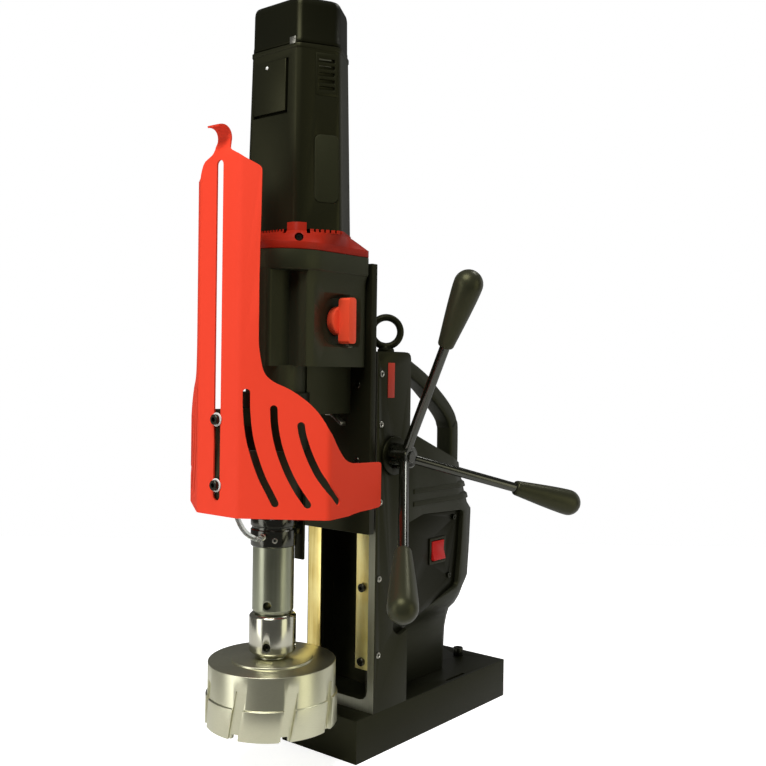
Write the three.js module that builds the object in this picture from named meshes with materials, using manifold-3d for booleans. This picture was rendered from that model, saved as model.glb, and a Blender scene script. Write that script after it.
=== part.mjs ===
// A magnetic-base drill press for annular cutters.
// Units are millimetres and +Z is up. The origin is the centre of the magnet's bottom face.
// The drill's front looks along -Y, and its feed levers stand on the +X side.
// Places along Y are counted back from the magnet's front face.

import * as THREE from 'three';
import { mergeVertices } from 'three/addons/utils/BufferGeometryUtils.js';
import Module from 'manifold-3d';

const wasm = await Module();
wasm.setup();

// Clearances
const fit = 0.3;
const slideGap = 0.4;
const overrun = 5;
const weld = 0.0001;

// Magnet base
const magnetLength = 330;
const magnetWidth = 123;
const magnetHeight = 52.5;
const magnetRim = 14;
const coilGrooveWidth = 24;
const coilGrooveDepth = 38;
const coilSlack = 1;
const pottingDepth = 9.7;
const pottingSink = 0.5;
const strapSlotWidth = 4.5;
const strapSlotDepth = 12;
const strapSlotInset = 5.5;
const strapSlotStart = 195;
const strapSlotLength = 42;
const housingFootRear = 242;
const baseBoltShare = 0.6818;
const baseBoltPlace = housingFootRear + baseBoltShare * (magnetLength - housingFootRear);
const baseBoltRadius = 7;
const baseBoltHead = 12;
const baseBoltShank = 4.2;
const baseBoltGrip = 10;
const front = -magnetLength / 2;

// Column
const columnFront = 30.7;
const columnDepth = 66;
const columnHeight = 440;
const columnCorner = 8;
const sidePlate = 10;
const backWall = 14.7;
const leftPlateSetback = 12.9;
const bottomBar = 13.5;
const bottomFillet = 12;
const ledgeReach = 13.5;
const ledgeDepth = 6.4;
const columnHalf = magnetWidth / 2;
const columnRear = columnFront + columnDepth;
const columnTop = magnetHeight + columnHeight;
const channelHalf = columnHalf - sidePlate;
const channelRear = columnRear - backWall;

// Brass gibs and the set screws that press the right one
const gibFront = 33.5;
const gibDepth = 9.8;
const gibFoot = 102;
const gibTopSink = 4.5;
const gibMouthHalf = 29.3;
const dovetailFlare = 6.7;
const gibScrewRadius = 3;
const gibScrewProud = 0.4;
const gibScrewSocket = 1.5;
const gibScrewShares = [0.0536, 0.2948, 0.5373, 0.7821, 0.9409];
const gibRear = gibFront + gibDepth;
const gibTop = columnTop - gibTopSink;
const gibScrewHeights = gibScrewShares.map((share) => gibFoot + share * (gibTop - gibFoot));
const ledgeFront = gibRear + fit;
const gibScrewPlace = gibFront + gibDepth / 2;

// Plain red plate on the column
const redPlateWidth = 13;
const redPlateThickness = 0.8;
const redPlatePlace = 50;
const redPlateFootShare = 0.5576;
const redPlateHeightShare = 0.3367;

// Slide carriage
const slideFront = 17.5;
const slideThickness = 10;
const slideFoot = 272;
const slideHeight = 325;
const slideHalf = columnHalf;
const slideTop = slideFoot + slideHeight;
const slideRear = slideFront + slideThickness;

// Rack and feed pinion
const gearModule = 2;
const pinionTeeth = 16;
const pinionHalfWidth = 9;
const rackHalfWidth = 10;
const rackBodyDepth = 8;
const rackEndSink = 28;
const rackTopSink = 7;
const toothHeightShare = 0.8;
const toothRootShare = 1.1;
const toothThicknessShare = 0.2;
const flankSlope = Math.tan(THREE.MathUtils.degToRad(20));
const feedY = 62.6;
const feedZ = 364.8;
const redPlateFoot = feedZ + redPlateFootShare * (columnTop - feedZ);
const redPlateHeight = redPlateHeightShare * (columnTop - feedZ);
const pinionRadius = gearModule * pinionTeeth / 2;
const rackPitchY = feedY - pinionRadius;
const rackRootY = rackPitchY - gearModule * toothRootShare;
const rackBackY = rackRootY - rackBodyDepth;

// Feed shaft, its bush, the hub, the rods and the knobs
const feedShaftRadius = 8.7;
const bushRadius = 13;
const bushFlangeRadius = 24;
const bushFlange = 3.8;
const hubRadius = 16;
const hubCore = 13.5;
const hubLength = 24;
const hubRibs = 6;
const hubRibWidth = 4;
const hubRibSlope = 3;
const hubFace = 3;
const hubCapRadius = 7;
const hubCap = 2;
const rodRadius = 6;
const rodPlane = 78.7;
const rodLean = 30;
const rodStart = 14;
const rodEnd = 171;
const rodAngles = [-12, 108, 228];
const knobStart = 158;
const knobLength = 80;
const knobBaseRadius = 9.5;
const knobRadius = 16.6;
const knobChamfer = 2;
const hubStart = columnHalf + fit + bushFlange + fit;
const hubEnd = hubStart + hubLength;

// Control housing behind the column
const housingWall = 4;
const housingSideWall = 12;
const housingShift = columnRear + fit;
const housingArc = 3;
const cavityFoot = 142.5;
const slopeFrontTop = 390;
const slopeFrontY = 105;
const slopeRearTop = 338;
const slopeRearY = 235;
const recessDepth = 6;
const recessCorners = [[93, 277, 6], [128, 285.5, 40], [219, 282, 6], [214, 222, 40], [208, 181, 8], [80, 138, 9],
  [66, 148, 8]];
const recessGrowShares = [[-1, 1], [0, 1], [1, 1], [1, 0], [1, -1], [0, -1], [-1, 0]];
const panelThickness = 2;
const panelPlane = columnHalf - recessDepth;
const boardHalf = 38;
const boardFoot = 188;
const boardHeight = 130;
const boardThickness = 3;
const boardStandoff = 6;
const boardPostRadius = 3;
const boardPostInset = 8;
const chipWidth = 26;
const chipHeight = 34;
const chipThickness = 5;

// Rocker switch
const rockerY = 166.5;
const rockerZ = 233;
const rockerWidth = 26;
const rockerHalf = 12.5;
const rockerNose = 4.5;
const rockerDip = 2.5;
const rockerHeel = 4;
const rockerHeelHalf = 8;
const rockerTilt = 7;
const rockerGap = 0.6;
const bezelMargin = 2.5;
const bezelProud = 1.6;
const switchBodyDepth = 18;

// Panel screws
const panelScrewRadius = 3.6;
const panelScrewHead = 2.4;
const panelScrewShank = 1.6;
const panelScrewGrip = 5;
const panelScrewPlaces = [[204, 273], [194, 196]];

// Carrying handle and eye bolt
const handleHalf = 13;
const handleThick = 10.5;
const handleCorner = 4.5;
const handleDrops = [[110, 16.5], [150, 17], [165, 22], [194, 36.5], [214, 50.5], [239.7, 69.3], [256, 84.5],
  [263, 96.5], [266, 112.5]];
const rootHalf = 22;
const rootDepth = 43;
const rootRise = 1.5;
const rootHeight = 54;
const rootCorner = 5;
const rootTop = columnTop + rootRise;
const rootFoot = rootTop - rootHeight;
const legFoot = 262;
const eyePlace = 122;
const eyeRadius = 19;
const eyeWire = 4.6;
const eyeCollarRadius = 11;
const eyeCollar = 5;
const eyeCollarChamfer = 3;
const eyeSink = 2.3;
const eyeShank = 5;
const eyeGrip = 24;
const eyeTurn = 45;

// Gear housing
const housingBodyHalf = 55.5;
const housingBodyFront = -121;
const housingBodyRear = 17.2;
const housingBodyFoot = 473;
const housingBodyTop = 582;
const housingFrontRadius = 55;
const housingRearRadius = 8;
const housingDraft = 10;
const housingDraftTop = 58.5;
const pocketRear = -86;
const noseHalf = 26;
const noseFront = -120;
const noseCorner = 6;
const bandHalf = 60;
const bandFront = -122;
const bandFrontRadius = 55;
const bandTop = 603;
const bandWall = 3.4;
const chamberFloor = 585;
const gearFloor = 10;
const chamberHalf = 38;
const chamberFront = -44;
const chamberWall = 6;
const chamberMouthPlace = [20, -14];
const chamberMouth = 12;
const rearBlockHalf = 30;
const rearBlockFront = -60;
const rearBlockFoot = 417;
const spindleY = -80.5;
const neckRadius = 34.5;
const neckFoot = 400;
const quillRadius = 30;
const quillFoot = 306;

// Red gearbox cover
const coverLip = 8.5;
const coverTop = 631;
const coverHole = 6.4;
const coverTooth = 4;
const coverGrow = 1.5;

// Gear selector knob
const selectorY = -26;
const selectorZ = 526.5;
const selectorRecess = [[-51, -22, 4], [-34, -31, 6], [30, -31, 8], [30, 31, 8], [-34, 31, 6], [-51, 22, 4]];
const selectorRecessDepth = 12;
const selectorFloor = 27;
const selectorDisc = 17;
const selectorDiscThickness = 5.2;
const selectorBarWidth = 12.7;
const selectorBarLength = 53;
const selectorBarCorner = 4;
const selectorProud = 13.5;
const selectorShaft = 6;
const selectorShaftEnd = 30;

// Motor
const motorY = -46;
const motorFoot = 631;
const motorShoulder = 836;
const motorDome = 890;
const motorCrown = 7;
const motorCapTop = motorDome - motorCrown;
const motorRim = 6;
const motorRimShare = 0.985;
const motorCrownShare = 0.96;
const motorDomeShare = 0.78;
const motorFacetHalf = 41;
const motorSideHalf = 67.5;
const motorFacetReach = 46.8;
const motorCorner = 9;
const motorSideCorner = 12;
const motorTaperShare = 0.915;
const motorCapShare = 0.897;
const motorBore = 35;
const motorBossRadius = 12;
const motorBossDepth = 14;
const stationShaft = 6;
const statorInner = 24;
const statorFoot = 680;
const statorHeight = 80;
const armatureRadius = 22;
const fanRadius = 31;
const fanFoot = 642;
const fanHeight = 12;
const commutatorRadius = 13;
const commutatorFoot = 775;
const commutatorHeight = 22;
const brushCoverLeft = -33;
const brushCoverRight = 22.5;
const brushCoverFoot = 759;
const brushCoverTop = 822;
const brushPocket = 6;
const brushGap = 3.8;
const ventFoot = 779;
const ventHeight = 49;
const ventWidth = 27;
const ventShift = 8.5;
const ventDepth = 3;
const ventSlats = 5;
const ventSlatHeight = 3;
const ventRim = 4;
const padFoot = 658;
const padHeight = 77;
const padWidth = 29;
const padShift = 8.5;
const padCorner = 7;
const padDepth = 2;
const padProud = 1.2;

// Gear train
const trainModule = 2;
const rotorTeeth = 8;
const idlerTeeth = 19;
const idlerPinionTeeth = 10;
const spindleTeeth = 35;
const trainFoot = 586;
const trainWidth = 6.5;
const trainStep = 1.2;
const idlerX = -27;
const idlerY = -44.5;
const idlerShaft = 5;

// Spindle, arbor sleeve and cutter
const spindleRadius = 24;
const spindleFoot = 188.5;
const spindleStep = 2;
const spindleRebate = 1.5;
const spindleShoulder = 472;
const spindleStem = 12;
const crossHoleRadius = 4.7;
const crossHoleHeight = 200;
const crossHoleTurn = 29;
const bearingRadius = 19.2;
const bearingHeight = 14;
const bearingLowerFoot = 477;
const bearingUpperFoot = 562;
const sleeveRadius = 27.2;
const sleeveFoot = 138.6;
const sleeveTop = 188;
const sleeveChamfer = 7;
const sleeveTopChamfer = 2.5;
const sleeveSocket = 16.2;
const sleeveScrewHeight = 153.5;
const sleeveScrewTurns = [30.5, 118];
const cutterRadius = 73.8;
const cutterRimRadius = 76;
const cutterRimTop = 97;
const cutterFoot = 63.1;
const cutterTop = 133.9;
const cutterWall = 6;
const cutterRoof = 13;
const cutterChamfer = 1.2;
const bossRadius = 47.3;
const bossHeight = 2.6;
const shankRadius = 15.9;
const shankTop = 172;
const flutes = 8;
const fluteStart = 17;
const fluteWidth = 12;
const fluteRoot = 71.6;
const fluteTop = 116;
const fluteLean = 10;
const gulletHeight = 5;
const gulletWidth = 8;

// Coolant collar, its stay and the hose
const collarRadius = 26.6;
const collarFoot = 266;
const collarTop = 300;
const collarGroove = 1.2;
const lugHalf = 5;
const lugFoot = 274;
const lugTop = 286;
const stayHalf = 7;
const stayFront = -39;
const stayThickness = 4;
const stayFoot = 243;
const fittingTurn = 21;
const fittingHeight = 279.5;
const fittingRadius = 4;
const fittingLength = 9;
const barbX = -19;
const barbY = -115;
const barbRadius = 4;
const barbLength = 11;
const hoseRadius = 3;
const hoseSides = 8;
const hoseSteps = 26;
const hoseLead = 10;
const hoseMiddle = [[-22.5, -118, 440], [-25, -121, 415], [-22, -127, 385], [-13, -135, 350], [-2, -141, 320],
  [5.5, -142, 303], [12, -136, 288]];

// Guard bracket, guard screws and the strap under the rear block
const sheet = 2;
const guardFront = -168.9;
const bracketPlateHalf = 12;
const bracketPlate = 4;
const bracketFoot = 322;
const bracketTop = 425;
const bracketArmHalf = 8;
const bracketArmHeight = 20;
const clampWall = 5;
const guardScrewHeights = [413.9, 342.4];
const guardScrewShank = 3.2;
const guardScrewHead = 5.75;
const guardScrewHeadHeight = 4;
const guardScrewSocket = 2.5;
const washerRadius = 7.5;
const washerThickness = 1.2;
const strapStart = 8;
const strapReach = 26;
const strapDrop = 12;
const strapThickness = 2.4;
const strapHalf = 4.5;

// Chip guard
const facetHalf = 31.8;
const slantEndX = 112.3;
const slantEndY = -111;
const wingEndX = 99.7;
const wingEndY = -9.2;
const guardFoot = 309.5;
const slantLength = Math.hypot(slantEndX - facetHalf, slantEndY - guardFront);
const wingLength = Math.hypot(wingEndX - slantEndX, wingEndY - slantEndY);
const guardNeckHalf = 9.5;
const guardNeckFoot = 697;
const guardNeckTop = 700;
const guardTop = 760;
const guardSlotHalf = 5.2;
const guardSlotFoot = 325.6;
const guardSlotTop = 694.9;
const hookPath = [[-168.9, 700], [-168, 705], [-165.5, 710.5], [-163.8, 716], [-163.6, 720.5], [-165.2, 725.2],
  [-169, 728.5], [-174.5, 729.3], [-180.5, 727.8]];

// Guard contours as [distance along the facet, height], and slits as lines of the same
const shoulderLine = [[0, 697], [8, 692.3], [18.5, 686.6], [22.2, 684], [23.2, 680.5], [22.8, 640], [22, 600],
  [21.5, 560], [21.7, 500], [22.5, 490], [25.2, 474.5], [28.1, 464.5], [36.7, 456.5], [56.5, 447.8], [73.5, 436.1],
  [84.9, 425.5], [93.5, 413.5], [slantLength, 405]];
const wingLine = [[0, 405], [5.1, 398.6], [15.3, 385.4], [25.6, 375], [33.4, 370.2], [43.8, 367.2], [56.9, 366.3],
  [80, 365.2]];
const wingTop = 364.3;
const wingFootLine = [[38, 0.4], [61, 2.2], [80, 2.6]];
const wingFootLift = 3.5;
const slitWidth = 7.4;
const slitLines = [
  [[9.2, 444], [9.7, 423.8], [12.6, 398.7], [18.5, 376.3], [26.7, 354.1], [35.4, 337.4], [41.2, 326.3]],
  [[38.8, 427], [40.2, 407.6], [45, 385.3], [53.4, 363], [63.5, 343.6], [76, 325.7]],
  [[68.3, 409.5], [70.4, 398.3], [77.1, 378.9], [85.8, 360.9], [93, 350.3], [99.2, 343], [107, 335.3], [115, 328]],
];

const sides = 20;
const fineSides = 40;

// Materials
function finish(red, green, blue, roughness, metalness) {
  return new THREE.MeshStandardMaterial({ color: new THREE.Color(red, green, blue), roughness, metalness });
}

const blackPaint = finish(0.03, 0.032, 0.028, 0.55, 0);
const blackPlastic = finish(0.022, 0.023, 0.02, 0.6, 0);
const redPaint = finish(0.85, 0.08, 0.03, 0.45, 0);
const redPlastic = finish(0.72, 0.06, 0.03, 0.4, 0);
const steel = finish(0.45, 0.44, 0.4, 0.35, 1);
const chrome = finish(0.75, 0.74, 0.7, 0.12, 1);
const cutterSteel = finish(0.62, 0.6, 0.5, 0.4, 1);
const brass = finish(0.78, 0.6, 0.28, 0.35, 1);
const copper = finish(0.7, 0.35, 0.18, 0.4, 1);
const resin = finish(0.05, 0.05, 0.05, 0.7, 0);
const clearHose = finish(0.85, 0.88, 0.82, 0.15, 0);
const boardGreen = finish(0.03, 0.2, 0.08, 0.5, 0);

// Solids
function signedVolume(position, index) {
  const corners = [new THREE.Vector3(), new THREE.Vector3(), new THREE.Vector3()];
  let volume = 0;
  for (let i = 0; i < index.length; i += 3) {
    corners.forEach((corner, k) => corner.fromBufferAttribute(position, index[i + k]));
    volume += corners[0].dot(corners[1].clone().cross(corners[2]));
  }
  return volume;
}

function solid(geometry) {
  const bare = geometry.clone();
  bare.deleteAttribute('normal');
  bare.deleteAttribute('uv');
  const merged = mergeVertices(bare, weld);
  const kept = [];
  for (let i = 0; i < merged.index.count; i += 3) {
    const face = [0, 1, 2].map((k) => merged.index.getX(i + k));
    if (new Set(face).size === 3) kept.push(...face);
  }
  const position = merged.getAttribute('position');
  if (signedVolume(position, kept) < 0) {
    for (let i = 0; i < kept.length; i += 3) [kept[i], kept[i + 1]] = [kept[i + 1], kept[i]];
  }
  const vertProperties = Float32Array.from(position.array);
  return new wasm.Manifold(new wasm.Mesh({ numProp: 3, vertProperties, triVerts: Uint32Array.from(kept) }));
}

function toGeometry(body) {
  const mesh = body.getMesh();
  const geometry = new THREE.BufferGeometry();
  geometry.setAttribute('position', new THREE.BufferAttribute(Float32Array.from(mesh.vertProperties), 3));
  geometry.setIndex(new THREE.BufferAttribute(Uint32Array.from(mesh.triVerts), 1));
  geometry.computeVertexNormals();
  return geometry;
}

function piece(parent, name, material, body) {
  const mesh = new THREE.Mesh(toGeometry(body), material);
  mesh.name = name;
  parent.add(mesh);
  return mesh;
}

function block(x, y, z) {
  const geometry = new THREE.BoxGeometry(x[1] - x[0], y[1] - y[0], z[1] - z[0]);
  geometry.translate((x[0] + x[1]) / 2, (y[0] + y[1]) / 2, (z[0] + z[1]) / 2);
  return solid(geometry);
}

// Turns a shape drawn along Z so that it runs along another axis
const axisTurn = {
  x: new THREE.Matrix4().set(0, 0, 1, 0, 1, 0, 0, 0, 0, 1, 0, 0, 0, 0, 0, 1),
  y: new THREE.Matrix4().set(1, 0, 0, 0, 0, 0, 1, 0, 0, 1, 0, 0, 0, 0, 0, 1),
  z: new THREE.Matrix4(),
};

// An outline of [a, b] points drawn out along an axis: (y, z) along X, (x, z) along Y, (x, y) along Z
function prism(points, axis, from, to) {
  const shape = new THREE.Shape(points.map(([a, b]) => new THREE.Vector2(a, b)));
  const geometry = new THREE.ExtrudeGeometry(shape, { depth: to - from, bevelEnabled: false });
  geometry.translate(0, 0, from);
  geometry.applyMatrix4(axisTurn[axis]);
  return solid(geometry);
}

// Replaces each corner [a, b, radius] by an arc
function rounded(corners, steps = 3) {
  const points = [];
  corners.forEach(([a, b, radius], i) => {
    const corner = new THREE.Vector2(a, b);
    if (!radius) {
      points.push([a, b]);
      return;
    }
    const before = corners[(i + corners.length - 1) % corners.length];
    const after = corners[(i + 1) % corners.length];
    const back = new THREE.Vector2(before[0] - a, before[1] - b).normalize();
    const ahead = new THREE.Vector2(after[0] - a, after[1] - b).normalize();
    const half = Math.acos(THREE.MathUtils.clamp(back.dot(ahead), -1, 1)) / 2;
    const middle = back.clone().add(ahead).normalize();
    const centre = corner.clone().addScaledVector(middle, radius / Math.sin(half));
    const start = corner.clone().addScaledVector(back, radius / Math.tan(half)).sub(centre);
    const end = corner.clone().addScaledVector(ahead, radius / Math.tan(half)).sub(centre);
    const sweep = Math.atan2(start.cross(end), start.dot(end));
    for (let k = 0; k <= steps; k += 1) {
      const turned = start.clone().rotateAround(new THREE.Vector2(), sweep * k / steps).add(centre);
      points.push([turned.x, turned.y]);
    }
  });
  return points;
}

function roundedBox(halfX, y, frontRadius, rearRadius, steps) {
  return rounded([
    [-halfX, y[0], frontRadius],
    [halfX, y[0], frontRadius],
    [halfX, y[1], rearRadius],
    [-halfX, y[1], rearRadius],
  ], steps);
}

function rod(axis, radius, from, to, centre = [0, 0], count = sides) {
  const outline = [];
  for (let k = 0; k < count; k += 1) {
    const angle = 2 * Math.PI * k / count;
    outline.push([centre[0] + radius * Math.cos(angle), centre[1] + radius * Math.sin(angle)]);
  }
  return prism(outline, axis, from, to);
}

// A profile of [radius, height] points turned about an axis
function turned(profile, axis = 'z', count = sides) {
  const geometry = new THREE.LatheGeometry(profile.map(([r, h]) => new THREE.Vector2(r, h)), count);
  geometry.applyMatrix4(axisTurn.y);
  geometry.applyMatrix4(axisTurn[axis]);
  return solid(geometry);
}

function ring(outer, inner, from, to, count = sides) {
  return turned([[inner, from], [outer, from], [outer, to], [inner, to], [inner, from]], 'z', count);
}

function mirroredX(body) {
  return body.mirror([1, 0, 0]);
}

// Rings of equal point count joined one to the next, with both ends closed
function ringedGeometry(positions, count, rings) {
  const index = [];
  for (let level = 0; level < rings - 1; level += 1) {
    for (let k = 0; k < count; k += 1) {
      const a = level * count + k;
      const b = level * count + (k + 1) % count;
      index.push(a, b, b + count, a, b + count, a + count);
    }
  }
  const last = (rings - 1) * count;
  for (let k = 1; k < count - 1; k += 1) {
    index.push(0, k + 1, k);
    index.push(last, last + k, last + k + 1);
  }
  const geometry = new THREE.BufferGeometry();
  geometry.setAttribute('position', new THREE.Float32BufferAttribute(positions, 3));
  geometry.setIndex(index);
  return geometry;
}

// Sections of equal point count, stacked along an axis
function loft(sections, axis = 'z') {
  const positions = sections.flatMap(({ z, points }) => points.flatMap(([x, y]) => [x, y, z]));
  const geometry = ringedGeometry(positions, sections[0].points.length, sections.length);
  geometry.applyMatrix4(axisTurn[axis]);
  return solid(geometry);
}

// Where rays from a centre leave a convex outline
function radial(outline, centre, count) {
  const points = [];
  for (let k = 0; k < count; k += 1) {
    const angle = 2 * Math.PI * k / count;
    const ray = new THREE.Vector2(Math.cos(angle), Math.sin(angle));
    let reach = 0;
    outline.forEach((point, i) => {
      const next = outline[(i + 1) % outline.length];
      const start = new THREE.Vector2(point[0] - centre[0], point[1] - centre[1]);
      const edge = new THREE.Vector2(next[0] - point[0], next[1] - point[1]);
      const spread = ray.cross(edge);
      if (spread <= 0) return;
      const along = ray.cross(start) / -spread;
      if (along >= 0 && along <= 1) reach = Math.max(reach, start.cross(edge) / spread);
    });
    points.push([centre[0] + ray.x * reach, centre[1] + ray.y * reach]);
  }
  return points;
}

// The path beside a path, to its left, mitred at the bends
function offsetPath(points, distance) {
  return points.map((point, i) => {
    const before = points[Math.max(i - 1, 0)];
    const after = points[Math.min(i + 1, points.length - 1)];
    const normal = (a, b) => new THREE.Vector2(-(b[1] - a[1]), b[0] - a[0]).normalize();
    const first = i > 0 ? normal(before, point) : normal(point, after);
    const second = i < points.length - 1 ? normal(point, after) : first;
    const sum = first.clone().add(second).normalize();
    const reach = distance / sum.dot(first);
    return [point[0] + sum.x * reach, point[1] + sum.y * reach];
  });
}

// A gear's outline about its centre, with a gap on the +A side
function gearOutline(module, teeth) {
  const pitch = module * teeth / 2;
  const tip = pitch + module * toothHeightShare;
  const root = pitch - module * toothRootShare;
  const half = Math.PI * module * toothThicknessShare;
  const points = [];
  for (let k = 0; k < teeth; k += 1) {
    const middle = 2 * Math.PI * (k + 0.5) / teeth;
    const rootAngle = (half + (pitch - root) * flankSlope) / pitch;
    const tipAngle = (half - (tip - pitch) * flankSlope) / pitch;
    [[root, -rootAngle], [tip, -tipAngle], [tip, tipAngle], [root, rootAngle]].forEach(([radius, turn]) => {
      points.push([radius * Math.cos(middle + turn), radius * Math.sin(middle + turn)]);
    });
  }
  return points;
}

function hexSocket(axis, acrossHalf, from, to, centre) {
  return rod(axis, acrossHalf * 2 / Math.sqrt(3), from, to, centre, 6);
}

const drill = new THREE.Group();
drill.name = 'magnetic_drill';
drill.position.set(0, front, 0);

// Magnet base: a steel block with a racetrack groove for the coil in its bottom
function racetrack(halfWidth, halfLength) {
  return rounded([
    [-halfWidth, -halfLength, halfWidth - weld],
    [halfWidth, -halfLength, halfWidth - weld],
    [halfWidth, halfLength, halfWidth - weld],
    [-halfWidth, halfLength, halfWidth - weld],
  ], 6);
}

function racetrackRing(gap, from, to) {
  const outerHalf = magnetWidth / 2 - magnetRim - gap;
  const outerLength = magnetLength / 2 - magnetRim - gap;
  const innerHalf = outerHalf - coilGrooveWidth + 2 * gap;
  const innerLength = outerLength - coilGrooveWidth + 2 * gap;
  const outer = prism(racetrack(outerHalf, outerLength), 'z', from, to);
  return outer.subtract(prism(racetrack(innerHalf, innerLength), 'z', from - overrun, to + overrun));
}

const halfLength = magnetLength / 2;
const groove = racetrackRing(0, -overrun, coilGrooveDepth).translate([0, halfLength, 0]);
const strapSlot = block(
  [columnHalf - strapSlotInset - strapSlotWidth, columnHalf - strapSlotInset],
  [strapSlotStart, strapSlotStart + strapSlotLength],
  [magnetHeight - strapSlotDepth, magnetHeight + overrun],
);
const baseBoltHole = rod('z', baseBoltShank + fit, magnetHeight - baseBoltGrip - fit, magnetHeight + overrun,
  [0, baseBoltPlace]);
piece(drill, 'magnet_base', blackPaint, block([-columnHalf, columnHalf], [0, magnetLength], [0, magnetHeight])
  .subtract(groove).subtract(strapSlot).subtract(baseBoltHole));
piece(drill, 'magnet_coil', copper, racetrackRing(coilSlack, pottingDepth + fit, coilGrooveDepth - fit)
  .translate([0, halfLength, 0]));
piece(drill, 'coil_potting', resin, racetrackRing(fit, pottingSink, pottingDepth).translate([0, halfLength, 0]));

const baseBolt = rod('z', baseBoltRadius, magnetHeight, magnetHeight + baseBoltHead, [0, baseBoltPlace])
  .add(rod('z', baseBoltShank, magnetHeight - baseBoltGrip, magnetHeight + overrun, [0, baseBoltPlace]))
  .subtract(hexSocket('z', baseBoltRadius / 2, magnetHeight + baseBoltHead / 2, columnTop, [0, baseBoltPlace]));
piece(drill, 'base_bolt', steel, baseBolt);

// The panel's recess is cut in the column plate and in the control housing alike
function recessOutline(grow) {
  return rounded(recessCorners.map(([y, z, corner], i) => {
    const [along, up] = recessGrowShares[i];
    return [y + along * grow, z + up * grow, corner];
  }), 3);
}

const panelRecess = prism(recessOutline(0), 'x', panelPlane - panelThickness, columnHalf + overrun);

// Column: a channel with two side plates, a back wall and ledges behind the gibs
const columnPlan = [
  [-columnHalf, ledgeFront],
  [-channelHalf + ledgeReach, ledgeFront],
  [-channelHalf + ledgeReach, ledgeFront + ledgeDepth],
  [-channelHalf, ledgeFront + ledgeDepth],
  [-channelHalf, channelRear],
  [channelHalf, channelRear],
  [channelHalf, ledgeFront + ledgeDepth],
  [channelHalf - ledgeReach, ledgeFront + ledgeDepth],
  [channelHalf - ledgeReach, ledgeFront],
  [channelHalf, ledgeFront],
  [channelHalf, columnFront],
  [columnHalf, columnFront],
  [columnHalf, columnRear],
  [-columnHalf, columnRear],
];
const columnSide = rounded([
  [columnFront, magnetHeight, 0],
  [columnRear, magnetHeight, 0],
  [columnRear, columnTop, columnCorner],
  [columnFront, columnTop, 0],
]);
const barTop = magnetHeight + bottomBar;
const bottomBarOutline = [
  [-channelHalf - fit, magnetHeight],
  [channelHalf + fit, magnetHeight],
  [channelHalf + fit, barTop + bottomFillet],
  ...rounded([
    [channelHalf, barTop + bottomFillet, 0],
    [channelHalf, barTop, bottomFillet - weld],
    [-channelHalf, barTop, bottomFillet - weld],
    [-channelHalf, barTop + bottomFillet, 0],
  ]),
  [-channelHalf - fit, barTop + bottomFillet],
];
const columnBar = prism(bottomBarOutline, 'y', columnFront, channelRear + 1)
  .subtract(block([-columnHalf, -channelHalf], [0, ledgeFront], [0, columnTop]));
let column = prism(columnPlan, 'z', magnetHeight, columnTop)
  .intersect(prism(columnSide, 'x', -columnHalf - overrun, columnHalf + overrun))
  .add(columnBar)
  .subtract(panelRecess)
  .subtract(rod('x', bushRadius + fit, channelHalf - ledgeReach - overrun, columnHalf + overrun, [feedY, feedZ]))
  .subtract(rod('x', feedShaftRadius + fit, -columnHalf - overrun, 0, [feedY, feedZ]));
gibScrewHeights.forEach((height) => {
  column = column.subtract(rod('x', gibScrewRadius + fit, channelHalf - overrun, columnHalf + overrun,
    [gibScrewPlace, height], 16));
});
piece(drill, 'column_frame', blackPaint, column);

// Gibs with slanted inner faces that hold the dovetail rail
const gibPlan = [
  [gibMouthHalf, gibFront],
  [channelHalf - fit, gibFront],
  [channelHalf - fit, gibRear],
  [gibMouthHalf + dovetailFlare, gibRear],
];
piece(drill, 'gib_right', brass, prism(gibPlan, 'z', gibFoot, gibTop));
const leftGibPlan = gibPlan.map(([x, y]) => [x > gibMouthHalf + dovetailFlare ? channelHalf : x, y]);
piece(drill, 'gib_left', brass, mirroredX(prism(leftGibPlan, 'z', gibFoot, gibTop)));
gibScrewHeights.forEach((height, i) => {
  const screw = rod('x', gibScrewRadius, channelHalf, columnHalf + gibScrewProud, [gibScrewPlace, height], 16)
    .subtract(hexSocket('x', gibScrewSocket, columnHalf - overrun, columnHalf + overrun, [gibScrewPlace, height]));
  piece(drill, `gib_screw_${i + 1}`, steel, screw);
});
piece(drill, 'red_plate', redPlastic, block([columnHalf, columnHalf + redPlateThickness],
  [redPlatePlace, redPlatePlace + redPlateWidth], [redPlateFoot, redPlateFoot + redPlateHeight]));

// Control housing: rounded sections that flare from a narrow foot, under a sloping top
const housingLevels = [
  [magnetHeight, 20, housingFootRear, 12],
  [112, 22, 244, 14],
  [128, 26, 245, 17],
  [140, 33, 245, 24],
  [150, 46, 248, 36],
  [162, 55, 250, 42],
  [176, 61.4, 251, 45],
  [184, 61.4, 258, 45],
  [190, 61.4, 262, 45],
  [222, 61.4, 265, 45],
  [275, 61.4, 268, 45],
  [281, 61.4, 268, 45],
  [290, 61.4, 259, 45],
  [305, 61.4, 252, 45],
  [336, 61.4, 237, 42],
  [392, 61.4, 226, 40],
];

function housingBody(sideCut, cut) {
  const sections = housingLevels.map(([z, half, rear, corner]) => ({
    z,
    points: roundedBox(half - sideCut, [housingShift - (cut > 0 ? overrun : 0), rear - cut],
      weld, Math.min(corner - cut, half - sideCut - weld), housingArc),
  }));
  const slope = prism([
    [0, slopeFrontTop - cut],
    [slopeFrontY, slopeFrontTop - cut],
    [slopeRearY, slopeRearTop - cut],
    [slopeRearY + (slopeRearY - slopeFrontY), slopeRearTop * 2 - slopeFrontTop - cut],
    [magnetLength * 2, 0],
    [0, 0],
  ], 'x', -magnetWidth, magnetWidth);
  return loft(sections).intersect(slope);
}

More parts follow.
